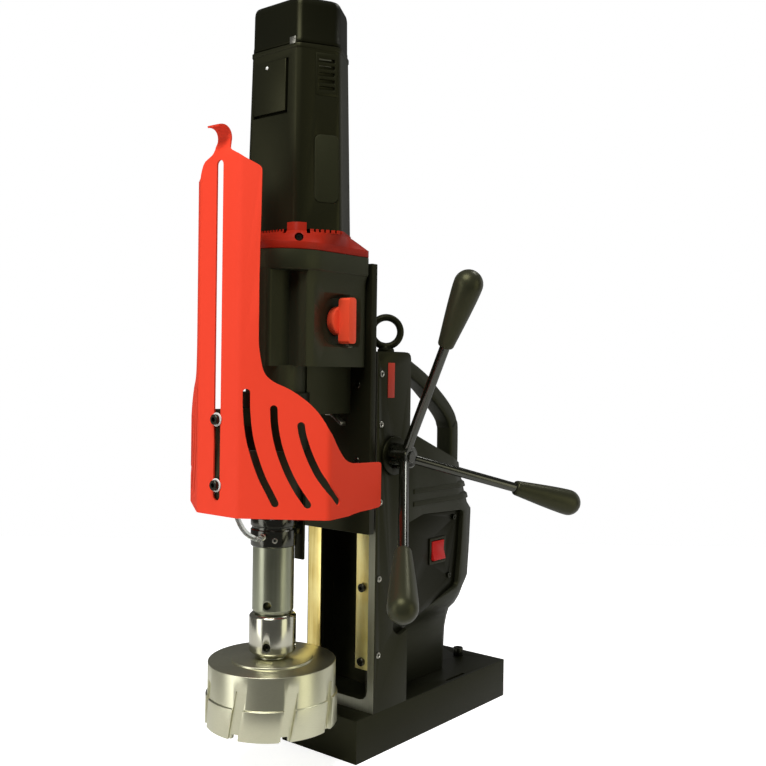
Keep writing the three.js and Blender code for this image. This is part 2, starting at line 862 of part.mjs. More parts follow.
const housingCavity = housingBody(housingSideWall, housingWall)
  .subtract(block([-magnetWidth, magnetWidth], [0, magnetLength], [0, cavityFoot]));
const rockerWindow = block([panelPlane - overrun - switchBodyDepth, panelPlane + overrun],
  [rockerY - rockerWidth / 2 - bezelMargin, rockerY + rockerWidth / 2 + bezelMargin],
  [rockerZ - rockerHalf - bezelMargin, rockerZ + rockerHalf + bezelMargin]);
let controlHousing = housingBody(0, 0)
  .subtract(block([-magnetWidth, magnetWidth], [0, housingShift], [0, columnTop]))
  .subtract(housingCavity)
  .subtract(panelRecess)
  .subtract(rockerWindow);
panelScrewPlaces.forEach((place) => {
  controlHousing = controlHousing.subtract(rod('x', panelScrewShank + fit, panelPlane - panelScrewGrip - fit * 2,
    columnHalf, place, 12));
});
piece(drill, 'control_housing', blackPlastic, controlHousing);

const postCentres = [-1, 1].flatMap((sideways) => [0, 1].map((upper) => [
  sideways * (boardHalf - boardPostInset),
  boardFoot + boardPostInset + upper * (boardHeight - 2 * boardPostInset),
]));
const boardPlane = columnRear + boardStandoff;
let board = block([-boardHalf, boardHalf], [boardPlane, boardPlane + boardThickness],
  [boardFoot, boardFoot + boardHeight]);
postCentres.forEach(([x, z]) => {
  board = board.add(rod('y', boardPostRadius, columnRear, boardPlane + boardThickness / 2, [x, z], 12));
});
[-1, 1].forEach((sideways) => {
  const middle = sideways * boardHalf / 2;
  board = board.add(block([middle - chipWidth / 2, middle + chipWidth / 2],
    [boardPlane + boardThickness / 2, boardPlane + boardThickness + chipThickness],
    [boardFoot + boardHeight / 2, boardFoot + boardHeight / 2 + chipHeight]));
});
piece(drill, 'control_board', boardGreen, board);

// Panel, its screws and the rocker switch
let panel = prism(recessOutline(-fit), 'x', panelPlane - panelThickness, panelPlane)
  .subtract(rockerWindow);
panelScrewPlaces.forEach((place) => {
  panel = panel.subtract(rod('x', panelScrewShank + fit, panelPlane - overrun, panelPlane + overrun, place, 12));
});
piece(drill, 'control_panel', blackPlastic, panel);
panelScrewPlaces.forEach((place, i) => {
  const screw = rod('x', panelScrewRadius, panelPlane, panelPlane + panelScrewHead, place, 20)
    .add(rod('x', panelScrewShank, panelPlane - panelScrewGrip, panelPlane + panelScrewHead / 2, place, 12))
    .subtract(hexSocket('x', panelScrewRadius / 2, panelPlane + panelScrewHead / 2, columnHalf, place));
  piece(drill, `panel_screw_${i + 1}`, steel, screw);
});

const windowY = [rockerY - rockerWidth / 2 - bezelMargin + fit, rockerY + rockerWidth / 2 + bezelMargin - fit];
const windowZ = [rockerZ - rockerHalf - bezelMargin + fit, rockerZ + rockerHalf + bezelMargin - fit];
const bezelY = [windowY[0] - bezelMargin, windowY[1] + bezelMargin];
const bezelZ = [windowZ[0] - bezelMargin, windowZ[1] + bezelMargin];
const switchBody = block([panelPlane - switchBodyDepth, panelPlane + bezelProud], windowY, windowZ)
  .add(block([panelPlane, panelPlane + bezelProud], bezelY, bezelZ))
  .subtract(block([panelPlane - rockerNose * 2, columnHalf + overrun],
    [rockerY - rockerWidth / 2 - rockerGap, rockerY + rockerWidth / 2 + rockerGap],
    [rockerZ - rockerHalf - rockerGap * 2, rockerZ + rockerHalf + rockerGap * 2]));
piece(drill, 'switch_body', blackPlastic, switchBody);

const rockerGroup = new THREE.Group();
rockerGroup.position.set(panelPlane, rockerY, rockerZ);
rockerGroup.rotation.y = THREE.MathUtils.degToRad(-rockerTilt);
drill.add(rockerGroup);
piece(rockerGroup, 'rocker_switch', redPlastic, prism([
  [-rockerHeel, -rockerHeelHalf],
  [0, -rockerHalf],
  [rockerNose, -rockerHalf],
  [rockerDip, 0],
  [rockerNose, rockerHalf],
  [0, rockerHalf],
  [-rockerHeel, rockerHeelHalf],
], 'y', -rockerWidth / 2, rockerWidth / 2));

// Carrying handle: a root block behind the column, a sloping bar and a leg down to the housing
const handleCentre = handleDrops.map(([y, drop]) => [y, columnTop - drop]);
handleCentre.push([handleCentre[handleCentre.length - 1][0], legFoot]);

// A section of [x, n] points swept along a path in the YZ plane, mitred at its bends
function sweep(path, section) {
  const outer = offsetPath(path, 1);
  const count = section.length;
  const positions = [];
  path.forEach(([y, z], i) => {
    section.forEach(([x, n]) => positions.push(x, y + (outer[i][0] - y) * n, z + (outer[i][1] - z) * n));
  });
  return solid(ringedGeometry(positions, count, path.length));
}

const rootBlock = prism(rounded([
  [housingShift, rootFoot, 0],
  [housingShift + rootDepth, rootFoot + rootCorner * 2, rootCorner],
  [housingShift + rootDepth, rootTop, rootCorner],
  [housingShift, rootTop, 0],
]), 'x', -rootHalf, rootHalf);
const handle = sweep(handleCentre, roundedBox(handleHalf, [-handleThick, handleThick], handleCorner, handleCorner, 2))
  .subtract(block([-rootHalf, rootHalf], [housingShift, housingShift + rootDepth - 1], [rootFoot, rootTop]))
  .add(rootBlock)
  .subtract(housingBody(-fit, -fit))
  .subtract(rod('z', eyeShank + fit, rootTop - eyeGrip - fit, rootTop + overrun, [0, eyePlace], 20));
piece(drill, 'carry_handle', blackPlastic, handle);

// Eye bolt, turned a half quarter about its stem
const eyeGroup = new THREE.Group();
eyeGroup.position.set(0, eyePlace, rootTop);
eyeGroup.rotation.z = THREE.MathUtils.degToRad(eyeTurn);
drill.add(eyeGroup);
const eyeLift = eyeCollar + eyeRadius + eyeWire - eyeSink;
const eyeRing = solid(new THREE.TorusGeometry(eyeRadius, eyeWire, 8, sides).rotateX(Math.PI / 2))
  .translate([0, 0, eyeLift]);
const eyeStem = turned([
  [0, -eyeGrip],
  [eyeShank, -eyeGrip],
  [eyeShank, fit],
  [eyeCollarRadius, fit],
  [eyeCollarRadius, eyeCollar / 2],
  [eyeCollarRadius - eyeCollarChamfer, eyeCollar],
  [0, eyeCollar],
], 'z', 20);
piece(eyeGroup, 'eye_bolt', blackPaint, eyeRing.add(eyeStem));

// Bush of the feed shaft, pressed into the column's right plate
const bush = turned([
  [feedShaftRadius + fit, channelHalf - ledgeReach],
  [bushRadius, channelHalf - ledgeReach],
  [bushRadius, columnHalf + fit],
  [bushFlangeRadius, columnHalf + fit],
  [bushFlangeRadius, columnHalf + fit + bushFlange],
  [feedShaftRadius + fit, columnHalf + fit + bushFlange],
  [feedShaftRadius + fit, channelHalf - ledgeReach],
], 'x').translate([0, feedY, feedZ]);
piece(drill, 'pinion_bush', blackPaint, bush);

// Feed shaft with its pinion, hub, rods and knobs, placed at the shaft's axis
const feed = new THREE.Group();
feed.position.set(0, feedY, feedZ);
drill.add(feed);
const pinion = prism(gearOutline(gearModule, pinionTeeth), 'x', -pinionHalfWidth, pinionHalfWidth);
const rackTooth = Math.PI;
const pinionTurn = THREE.MathUtils.radToDeg(rackTooth);
piece(feed, 'pinion_shaft', steel, pinion.rotate([pinionTurn, 0, 0])
  .add(rod('x', feedShaftRadius, -columnHalf, hubEnd - hubFace - fit)));

function alongRod(body, angle) {
  return body.rotate([0, rodLean, 0]).translate([rodPlane, 0, 0]).rotate([-angle, 0, 0]);
}

let hub = rod('x', hubCore, hubStart, hubEnd)
  .add(rod('x', hubCapRadius, hubEnd - fit, hubEnd + hubCap));
for (let k = 0; k < hubRibs; k += 1) {
  const rib = prism([
    [hubStart, 0],
    [hubEnd - hubRibSlope, 0],
    [hubEnd - hubRibSlope, hubCore],
    [hubStart + hubRibSlope, hubRadius],
    [hubStart, hubRadius],
  ], 'y', -hubRibWidth / 2, hubRibWidth / 2);
  hub = hub.add(rib.rotate([360 * k / hubRibs, 0, 0]));
}
hub = hub.subtract(rod('x', feedShaftRadius + fit, hubStart - overrun, hubEnd - hubFace));
rodAngles.forEach((angle) => {
  hub = hub.subtract(alongRod(rod('z', rodRadius + fit, rodStart - fit, rodEnd), angle));
});
piece(feed, 'feed_hub', blackPaint, hub);
rodAngles.forEach((angle, i) => {
  piece(feed, `feed_rod_${i + 1}`, blackPaint, alongRod(rod('z', rodRadius, rodStart, rodEnd, [0, 0], 12), angle));
  const knobTop = knobStart + knobLength;
  const cap = [];
  for (let k = 1; k <= 4; k += 1) {
    const bend = Math.PI / 2 * k / 4;
    cap.push([knobRadius * Math.cos(bend), knobTop + knobRadius * Math.sin(bend)]);
  }
  cap[cap.length - 1][0] = 0;
  const knob = turned([
    [0, rodEnd + fit],
    [rodRadius + fit, rodEnd + fit],
    [rodRadius + fit, knobStart],
    [knobBaseRadius - knobChamfer, knobStart],
    [knobBaseRadius, knobStart + knobChamfer],
    [knobBaseRadius + (knobRadius - knobBaseRadius) * 0.5, knobStart + knobLength * 0.45],
    [knobBaseRadius + (knobRadius - knobBaseRadius) * 0.93, knobStart + knobLength * 0.85],
    [knobRadius, knobTop],
    ...cap,
  ], 'z', 16);
  piece(feed, `feed_knob_${i + 1}`, blackPlastic, alongRod(knob, angle));
});

// Carriage: the sliding plate with its dovetail rail, and all that it carries
const carriage = new THREE.Group();
drill.add(carriage);
const railMouth = gibMouthHalf - slideGap;
const railFlare = railMouth + dovetailFlare;
const railPlan = [
  [-railMouth, slideRear - 1],
  [railMouth, slideRear - 1],
  [railMouth, gibFront],
  [railFlare, gibRear],
  [rackHalfWidth + fit, gibRear],
  [rackHalfWidth + fit, rackBackY],
  [-rackHalfWidth - fit, rackBackY],
  [-rackHalfWidth - fit, gibRear],
  [-railFlare, gibRear],
  [-railMouth, gibFront],
];
piece(carriage, 'slide_carriage', blackPaint,
  block([-slideHalf, slideHalf], [slideFront, slideRear], [slideFoot, slideTop])
    .add(prism(railPlan, 'z', slideFoot, slideTop)));

// Rack: a tooth lies at the feed shaft's height when the carriage is at rest
const rackPitch = Math.PI * gearModule;
const rackFoot = slideFoot + rackEndSink;
const rackTop = slideTop - rackTopSink;
const rackOutline = [[rackBackY, rackTop], [rackBackY, rackFoot], [rackRootY, rackFoot]];
const firstTooth = Math.ceil((rackFoot + rackPitch / 2 - feedZ) / rackPitch);
const lastTooth = Math.floor((rackTop - rackPitch / 2 - feedZ) / rackPitch);
for (let k = firstTooth; k <= lastTooth; k += 1) {
  const height = feedZ + k * rackPitch;
  const half = rackPitch * toothThicknessShare;
  const rootHalfTooth = half + gearModule * toothRootShare * flankSlope;
  const tipHalf = half - gearModule * toothHeightShare * flankSlope;
  const tipY = rackPitchY + gearModule * toothHeightShare;
  rackOutline.push([rackRootY, height - rootHalfTooth], [tipY, height - tipHalf]);
  rackOutline.push([tipY, height + tipHalf], [rackRootY, height + rootHalfTooth]);
}
rackOutline.push([rackRootY, rackTop]);
piece(carriage, 'gear_rack', steel, prism(rackOutline, 'x', -rackHalfWidth, rackHalfWidth));

// Gear housing: body, nose, top band, rear block and neck as one casting
const bodyPlan = (half) => roundedBox(half, [housingBodyFront, housingBodyRear], housingFrontRadius,
  housingRearRadius, 6);
const nosePlan = roundedBox(noseHalf, [noseFront, pocketRear + overrun], noseCorner, weld, 3);
const bandPlan = (cut) => roundedBox(bandHalf - cut, [bandFront + cut, housingBodyRear - cut],
  bandFrontRadius - cut, housingRearRadius - cut, 6);
const spindleAxis = [0, spindleY];
let gearHousing = loft([
  { z: housingBodyFoot, points: bodyPlan(housingBodyHalf) },
  { z: housingBodyTop - housingDraft, points: bodyPlan(housingBodyHalf) },
  { z: housingBodyTop, points: bodyPlan(housingDraftTop) },
]);
[-1, 1].forEach((sideways) => {
  const reach = [sideways * noseHalf, sideways * (bandHalf + overrun)].sort((a, b) => a - b);
  gearHousing = gearHousing.subtract(block(reach, [bandFront - overrun, pocketRear],
    [housingBodyFoot - overrun, housingBodyTop + overrun]));
});
gearHousing = gearHousing
  .subtract(block([-noseHalf - fit, noseHalf + fit], [bandFront - overrun, pocketRear],
    [housingBodyFoot - overrun, housingBodyTop + overrun]))
  .add(prism(nosePlan, 'z', housingBodyFoot, housingBodyTop))
  .add(prism(bandPlan(0), 'z', housingBodyTop, bandTop))
  .add(block([-rearBlockHalf, rearBlockHalf], [rearBlockFront, housingBodyRear], [rearBlockFoot, housingBodyFoot]))
  .add(rod('z', neckRadius, neckFoot, housingBodyFoot + 1, spindleAxis))
  .add(rod('z', quillRadius, quillFoot, neckFoot + 1, spindleAxis));
const recessMouth = radial(rounded(selectorRecess, 3), [0, 0], fineSides);
const recessFloor = recessMouth.map(([y, z]) => {
  const reach = Math.hypot(y, z);
  return [y * selectorFloor / reach, z * selectorFloor / reach];
});
const mouthShare = 1 + overrun / selectorRecessDepth;
const selectorRecessCut = loft([
  { z: 0, points: recessFloor },
  { z: selectorRecessDepth + overrun, points: recessMouth.map(([y, z], i) => [
    recessFloor[i][0] + (y - recessFloor[i][0]) * mouthShare,
    recessFloor[i][1] + (z - recessFloor[i][1]) * mouthShare,
  ]) },
], 'x').translate([housingBodyHalf - selectorRecessDepth, selectorY, selectorZ]);
gearHousing = gearHousing
  .subtract(prism(bandPlan(bandWall), 'z', chamberFloor, bandTop + overrun))
  .subtract(block([-chamberHalf, chamberHalf], [chamberFront, housingBodyRear - chamberWall],
    [housingBodyFoot + chamberWall, chamberFloor - gearFloor]))
  .subtract(rod('z', chamberMouth, chamberFloor - gearFloor - overrun, chamberFloor + overrun, chamberMouthPlace))
  .subtract(selectorRecessCut)
  .subtract(rod('x', selectorShaft + fit, 0, housingBodyHalf + overrun, [selectorY, selectorZ]))
  .subtract(rod('z', spindleRadius + fit * 2, quillFoot - overrun, spindleShoulder + 2, spindleAxis))
  .subtract(rod('z', bearingRadius + fit, spindleShoulder, chamberFloor + overrun, spindleAxis))
  .subtract(rod('z', idlerShaft + fit, chamberFloor - gearFloor / 2, chamberFloor + overrun, [idlerX, idlerY]))
  .subtract(rod('z', barbRadius / 2 + fit, housingBodyFoot - overrun, housingBodyFoot + 4, [barbX, barbY], 12));
piece(carriage, 'gear_housing', blackPaint, gearHousing);

[['bearing_lower', bearingLowerFoot], ['bearing_upper', bearingUpperFoot]].forEach(([name, foot]) => {
  piece(carriage, name, steel, ring(bearingRadius, spindleStem + fit, foot, foot + bearingHeight)
    .translate([0, spindleY, 0]));
});

// Motor outline: a rounded hexagon about the motor's axis, a little smaller towards the top
function motorOutline(share, grow = 0) {
  const facet = motorFacetHalf * share;
  const reach = motorFacetReach * share + grow;
  const side = motorSideHalf * share + grow * 1.2;
  return rounded([
    [-facet, -reach, motorCorner],
    [facet, -reach, motorCorner],
    [side, 0, motorSideCorner],
    [facet, reach, motorCorner],
    [-facet, reach, motorCorner],
    [-side, 0, motorSideCorner],
  ], 3).map(([x, y]) => [x, y + motorY]);
}

const motorAxis = [0, motorY];
const coverPoints = 40;
const coverRing = radial(bandPlan(0), motorAxis, coverPoints);
const coverNeck = radial(motorOutline(1, coverGrow), motorAxis, coverPoints);
let cover = loft([
  { z: bandTop, points: coverRing },
  { z: bandTop + coverLip, points: coverRing },
  { z: coverTop - coverTooth, points: coverNeck },
]);
cover = cover.subtract(rod('z', coverHole, bandTop - overrun, coverTop + overrun, motorAxis));
piece(carriage, 'gearbox_cover', redPaint, cover);

// Motor housing with pockets for the brush cover, the grille and the pad
const cornerX = motorSideHalf;
const facetAngle = THREE.MathUtils.radToDeg(Math.atan2(motorFacetReach, cornerX - motorFacetHalf));
const facetApothem = motorFacetReach * cornerX / Math.hypot(motorFacetReach, cornerX - motorFacetHalf);

function facetShare(z) {
  return 1 + (motorTaperShare - 1) * (z - motorFoot) / (motorShoulder - motorFoot);
}

function onFacet(body) {
  return body.rotate([0, 0, facetAngle]).translate([0, motorY, 0]);
}

// The right front facet in its own frame: X along it, -Y out of it
function facetPlate(shift, width, corner, foot, height, inward, outward, steps) {
  const distance = facetApothem * facetShare(foot + height / 2);
  const middle = facetMiddle() + shift;
  return prism(rounded([
    [middle - width / 2, foot, corner],
    [middle + width / 2, foot, corner],
    [middle + width / 2, foot + height, corner],
    [middle - width / 2, foot + height, corner],
  ], steps), 'y', -distance - outward, -distance + inward);
}

function facetMiddle() {
  const angle = THREE.MathUtils.degToRad(facetAngle);
  const start = [motorFacetHalf, -motorFacetReach];
  const end = [motorSideHalf, 0];
  const along = ([x, y]) => x * Math.cos(angle) + y * Math.sin(angle);
  return (along(start) + along(end)) / 2;
}

const motorBottom = { z: coverTop - coverTooth + fit, points: motorOutline(1) };
const motorTop = { z: motorShoulder, points: motorOutline(motorTaperShare) };
const brushFront = motorY - motorFacetReach * facetShare((brushCoverFoot + brushCoverTop) / 2);
const motorHousing = loft([motorBottom, motorTop])
  .subtract(rod('z', motorBore, motorFoot - overrun * 2, motorShoulder + overrun, motorAxis))
  .subtract(block([brushCoverLeft, brushCoverRight], [brushFront - overrun, brushFront + brushPocket],
    [brushCoverFoot, brushCoverTop]))
  .subtract(onFacet(facetPlate(ventShift, ventWidth, 1, ventFoot, ventHeight, ventDepth, overrun, 1)))
  .subtract(onFacet(facetPlate(padShift, padWidth, padCorner, padFoot, padHeight, padDepth, overrun, 3)));
piece(carriage, 'motor_housing', blackPlastic, motorHousing);

const motorCap = loft([
  { z: motorShoulder + fit, points: motorOutline(motorCapShare) },
  { z: motorCapTop - motorRim, points: motorOutline(motorCapShare * motorRimShare) },
  { z: motorCapTop, points: motorOutline(motorCapShare * motorCrownShare) },
  { z: motorDome, points: motorOutline(motorCapShare * motorDomeShare) },
])
  .subtract(ring(motorBore, motorBossRadius, motorShoulder - overrun, motorCapTop - 2 * motorRim)
    .translate([0, motorY, 0]))
  .subtract(rod('z', stationShaft + fit, motorShoulder - overrun, motorShoulder + motorBossDepth, motorAxis));
piece(carriage, 'motor_cap', blackPlastic, motorCap);

piece(carriage, 'brush_cover', blackPlastic, block(
  [brushCoverLeft + fit, brushCoverRight - brushGap],
  [brushFront - fit, brushFront + brushPocket],
  [brushCoverFoot + brushGap, brushCoverTop - fit],
));
let grille = facetPlate(ventShift, ventWidth - 2 * fit, 1, ventFoot + fit, ventHeight - 2 * fit, ventDepth, 0, 1);
for (let k = 0; k < ventSlats; k += 1) {
  const step = (ventHeight - 2 * ventRim) / ventSlats;
  const foot = ventFoot + ventRim + step * k + (step - ventSlatHeight) / 2;
  grille = grille.subtract(facetPlate(ventShift, ventWidth - 2 * ventRim, 1, foot, ventSlatHeight, ventDepth / 2,
    overrun, 1));
}
piece(carriage, 'vent_grille', blackPlastic, onFacet(grille));
piece(carriage, 'side_pad', blackPlastic, onFacet(facetPlate(padShift, padWidth - 2 * fit, padCorner,
  padFoot + fit, padHeight - 2 * fit, padDepth, padProud, 3)));

piece(carriage, 'motor_stator', steel, ring(motorBore - fit, statorInner, statorFoot, statorFoot + statorHeight)
  .translate([0, motorY, 0]));

// Coolant collar with its lug, and the stay that keeps it from turning
const collarLift = collarTop - collarFoot;
const collar = turned([
  [spindleRadius + fit, collarFoot],
  [collarRadius - collarGroove, collarFoot],
  [collarRadius, collarFoot + collarGroove],
  [collarRadius, collarFoot + collarLift * 0.62],
  [collarRadius - collarGroove, collarFoot + collarLift * 0.65],
  [collarRadius - collarGroove, collarFoot + collarLift * 0.72],
  [collarRadius, collarFoot + collarLift * 0.75],
  [collarRadius, collarTop - collarGroove],
  [collarRadius - collarGroove, collarTop],
  [spindleRadius + fit, collarTop],
  [spindleRadius + fit, collarFoot],
])
  .translate([0, spindleY, 0])
  .add(block([-lugHalf, lugHalf], [spindleY + collarRadius - 1, stayFront - fit], [lugFoot, lugTop]));
piece(carriage, 'coolant_collar', blackPaint, collar);
piece(carriage, 'collar_stay', blackPaint, block([-stayHalf, stayHalf], [stayFront, stayFront + stayThickness],
  [stayFoot, rearBlockFoot]));

// Hose fitting on the collar, barb on the housing, and the hose between them
const fittingDirection = new THREE.Vector3(Math.sin(THREE.MathUtils.degToRad(fittingTurn)),
  -Math.cos(THREE.MathUtils.degToRad(fittingTurn)), 0);
const fittingFoot = collarRadius + fit;
const fitting = turned([
  [0, 0],
  [fittingRadius, 0],
  [fittingRadius, fittingLength * 0.45],
  [fittingRadius * 0.65, fittingLength * 0.5],
  [fittingRadius * 0.75, fittingLength],
  [0, fittingLength],
], 'z', 16);
const fittingMesh = piece(carriage, 'hose_fitting', chrome, fitting);
fittingMesh.position.set(0, spindleY, fittingHeight).addScaledVector(fittingDirection, fittingFoot);
fittingMesh.quaternion.setFromUnitVectors(new THREE.Vector3(0, 0, 1), fittingDirection);
piece(carriage, 'hose_barb', brass, turned([
  [0, housingBodyFoot - barbLength],
  [barbRadius * 0.75, housingBodyFoot - barbLength],
  [barbRadius * 0.65, housingBodyFoot - barbLength / 2],
  [barbRadius, housingBodyFoot - barbLength / 2],
  [barbRadius, housingBodyFoot],
  [barbRadius / 2, housingBodyFoot],
  [barbRadius / 2, housingBodyFoot + 3],
  [0, housingBodyFoot + 3],
], 'z', 16).translate([barbX, barbY, 0]));

const fittingEnd = new THREE.Vector3(0, spindleY, fittingHeight)
  .addScaledVector(fittingDirection, fittingFoot + fittingLength + fit);
const fittingLead = fittingEnd.clone().addScaledVector(fittingDirection, fittingLength);
const hosePoints = [
  [barbX, barbY, housingBodyFoot - barbLength - fit],
  [barbX, barbY, housingBodyFoot - barbLength - fit - hoseLead],
  ...hoseMiddle,
  [fittingLead.x, fittingLead.y, fittingLead.z],
  [fittingEnd.x, fittingEnd.y, fittingEnd.z],
].map((place) => new THREE.Vector3(...place));
const hoseCurve = new THREE.CatmullRomCurve3(hosePoints, false, 'centripetal');
const hoseSection = new THREE.Shape();
for (let k = 0; k < hoseSides; k += 1) {
  const angle = 2 * Math.PI * k / hoseSides;
  const point = [hoseRadius * Math.cos(angle), hoseRadius * Math.sin(angle)];
  if (k) hoseSection.lineTo(...point);
  else hoseSection.moveTo(...point);
}
hoseSection.closePath();
piece(carriage, 'coolant_hose', clearHose, solid(new THREE.ExtrudeGeometry(hoseSection,
  { steps: hoseSteps, extrudePath: hoseCurve, bevelEnabled: false })));

// Guard bracket: a plate behind the guard's slot, an arm and a ring clamped on the neck
const bracketRear = guardFront + sheet + fit;
let bracket = block([-bracketPlateHalf, bracketPlateHalf], [bracketRear, bracketRear + bracketPlate],
  [bracketFoot, bracketTop])
  .add(block([-bracketArmHalf, bracketArmHalf], [bracketRear + bracketPlate - 1, spindleY - neckRadius - 2],
    [bracketTop - bracketArmHeight, bracketTop]))
  .add(ring(neckRadius + clampWall, neckRadius + fit, neckFoot + fit, rearBlockFoot - fit)
    .translate([0, spindleY, 0]));
guardScrewHeights.forEach((height) => {
  bracket = bracket.subtract(rod('y', guardScrewShank + fit, bracketRear - overrun,
    bracketRear + bracketPlate + overrun, [0, height], 16));
});
piece(carriage, 'guard_bracket', blackPaint, bracket);
guardScrewHeights.forEach((height, i) => {
  const seat = guardFront - fit;
  const screw = rod('y', washerRadius, seat - washerThickness, seat, [0, height], 24)
    .add(rod('y', guardScrewHead, seat - washerThickness - guardScrewHeadHeight, seat - washerThickness / 2,
      [0, height], 20))
    .add(rod('y', guardScrewShank, seat - washerThickness / 2, bracketRear + bracketPlate, [0, height], 16))
    .subtract(hexSocket('y', guardScrewSocket, seat - washerThickness - guardScrewHeadHeight - overrun,
      seat - washerThickness - guardScrewHeadHeight / 2, [0, height]));
  piece(carriage, `guard_screw_${i + 1}`, steel, screw);
});
piece(carriage, 'stay_strap', steel, prism([
  [strapStart, rearBlockFoot - strapThickness],
  [strapStart + strapReach / 3, rearBlockFoot - strapThickness],
  [strapStart + strapReach, rearBlockFoot - strapDrop - strapThickness],
  [strapStart + strapReach, rearBlockFoot - strapDrop + strapThickness],
  [strapStart + strapReach / 2.4, rearBlockFoot],
  [strapStart, rearBlockFoot],
], 'y', -strapHalf, strapHalf));

// Chip guard: one bent sheet, drawn in plan and then cut to each facet's outline
const guard = new THREE.Group();
carriage.add(guard);

const guardPath = [
  [-wingEndX, wingEndY],
  [-slantEndX, slantEndY],
  [-facetHalf, guardFront],
  [facetHalf, guardFront],
  [slantEndX, slantEndY],
  [wingEndX, wingEndY],
];
const guardPlan = [...guardPath, ...offsetPath(guardPath, sheet).reverse()];
const slantTurn = THREE.MathUtils.radToDeg(Math.atan2(slantEndY - guardFront, slantEndX - facetHalf));
const wingTurn = THREE.MathUtils.radToDeg(Math.atan2(wingEndY - slantEndY, wingEndX - slantEndX));
const guardDeep = sheet * 4;

function onSlant(points) {
  return prism(points, 'y', -guardDeep, guardDeep).rotate([0, 0, slantTurn]).translate([facetHalf, guardFront, 0]);
}

function onWing(points) {
  return prism(points, 'y', -guardDeep, guardDeep).rotate([0, 0, wingTurn]).translate([slantEndX, slantEndY, 0]);
}

const lastShoulder = shoulderLine[shoulderLine.length - 1][1];
const slantCut = onSlant([
  [0, guardTop],
  ...shoulderLine,
  [slantLength + guardDeep, lastShoulder - guardDeep],
  [slantLength + guardDeep, guardTop],
]);
const wingCut = onWing([
  [-guardDeep, lastShoulder + guardDeep],
  ...wingLine,
  [wingLength + guardDeep, wingTop],
  [wingLength + guardDeep, guardTop],
  [-guardDeep, guardTop],
]);
const wingFootCut = onWing([
  [wingFootLine[0][0], guardFoot - overrun],
  [wingLength + guardDeep, guardFoot - overrun],
  [wingLength + guardDeep, guardFoot + wingFootLift],
  ...wingFootLine.map(([along, lift]) => [along, guardFoot + lift]).reverse(),
]);

// A stroke of even width with round ends along a few points
function stroke(points, width) {
  const half = width / 2;
  const left = offsetPath(points, half);
  const right = offsetPath(points, -half).reverse();
  const end = ([a, b], [c, d]) => {
    const angle = Math.atan2(b - d, a - c);
    return [1, 2, 3, 4].map((k) => angle + Math.PI / 2 - Math.PI * k / 5)
      .map((turn) => [a + half * Math.cos(turn), b + half * Math.sin(turn)]);
  };
  const last = points.length - 1;
  return [...left, ...end(points[last], points[last - 1]), ...right, ...end(points[0], points[1])];
}

const beyondBend = slitLines[2].slice(4).map(([along, height]) => [along - slantLength, height]);
let guardCuts = slantCut.add(wingCut).add(wingFootCut).add(onWing(stroke(beyondBend, slitWidth)));
slitLines.forEach((line) => {
  guardCuts = guardCuts.add(onSlant(stroke(line, slitWidth)));
});
const neckCut = prism([
  [guardNeckHalf, guardTop],
  [guardNeckHalf, guardNeckTop + sheet * 5],
  [guardNeckHalf * 1.4, guardNeckTop + sheet * 3.5],
  [facetHalf + 1, guardNeckFoot],
  [facetHalf + 1, guardTop],
], 'y', guardFront - guardDeep, guardFront + guardDeep);
guardCuts = guardCuts.add(neckCut);
const slotCut = prism(stroke([[0, guardSlotFoot + guardSlotHalf], [0, guardSlotTop - guardSlotHalf]],
  guardSlotHalf * 2), 'y', guardFront - guardDeep, guardFront + guardDeep);
const neckTopCut = block([-facetHalf, facetHalf], [guardFront - guardDeep, guardFront + guardDeep],
  [guardNeckTop + sheet * 5, guardTop + overrun]);
const hookCentre = offsetPath(hookPath, -sheet);
const hook = prism([...hookPath, ...hookCentre.reverse()], 'x', -guardNeckHalf, guardNeckHalf);
piece(guard, 'chip_guard', redPaint, prism(guardPlan, 'z', guardFoot, guardTop)
  .subtract(guardCuts)
  .subtract(mirroredX(guardCuts))
  .subtract(slotCut)
  .subtract(neckTopCut)
  .add(hook));

// Gear selector knob: a disc with a grip bar, on a short shaft
const selector = new THREE.Group();
selector.position.set(housingBodyHalf - selectorRecessDepth, selectorY, selectorZ);
carriage.add(selector);
const selectorFace = fit + selectorDiscThickness;
const selectorBar = prism(rounded([
  [-selectorBarWidth / 2, -selectorBarLength / 2, selectorBarCorner],
  [selectorBarWidth / 2, -selectorBarLength / 2, selectorBarCorner],
  [selectorBarWidth / 2, selectorBarLength / 2, selectorBarCorner],
  [-selectorBarWidth / 2, selectorBarLength / 2, selectorBarCorner],
], 3), 'x', selectorFace - 1, selectorRecessDepth + selectorProud);
piece(selector, 'selector_knob', redPlastic, rod('x', selectorDisc, fit, selectorFace)
  .add(selectorBar)
  .add(rod('x', selectorShaft, -selectorShaftEnd, fit + 1, [0, 0], 20)));

// Spindle, arbor sleeve, cutter and spindle gear, placed at the spindle's axis
const spindleGroup = new THREE.Group();
spindleGroup.position.set(0, spindleY, 0);
carriage.add(spindleGroup);
const trainUpper = trainFoot + trainWidth + trainStep;
const crossHole = rod('y', crossHoleRadius, -spindleRadius * 2, spindleRadius * 2, [0, crossHoleHeight], 16)
  .rotate([0, 0, crossHoleTurn]);
piece(spindleGroup, 'spindle', steel, turned([
  [0, spindleFoot],
  [spindleRadius - spindleRebate, spindleFoot],
  [spindleRadius - spindleRebate, spindleFoot + spindleStep],
  [spindleRadius, spindleFoot + spindleStep],
  [spindleRadius, spindleShoulder],
  [spindleStem, spindleShoulder],
  [spindleStem, trainFoot + trainWidth],
  [0, trainFoot + trainWidth],
], 'z', sides).subtract(crossHole));

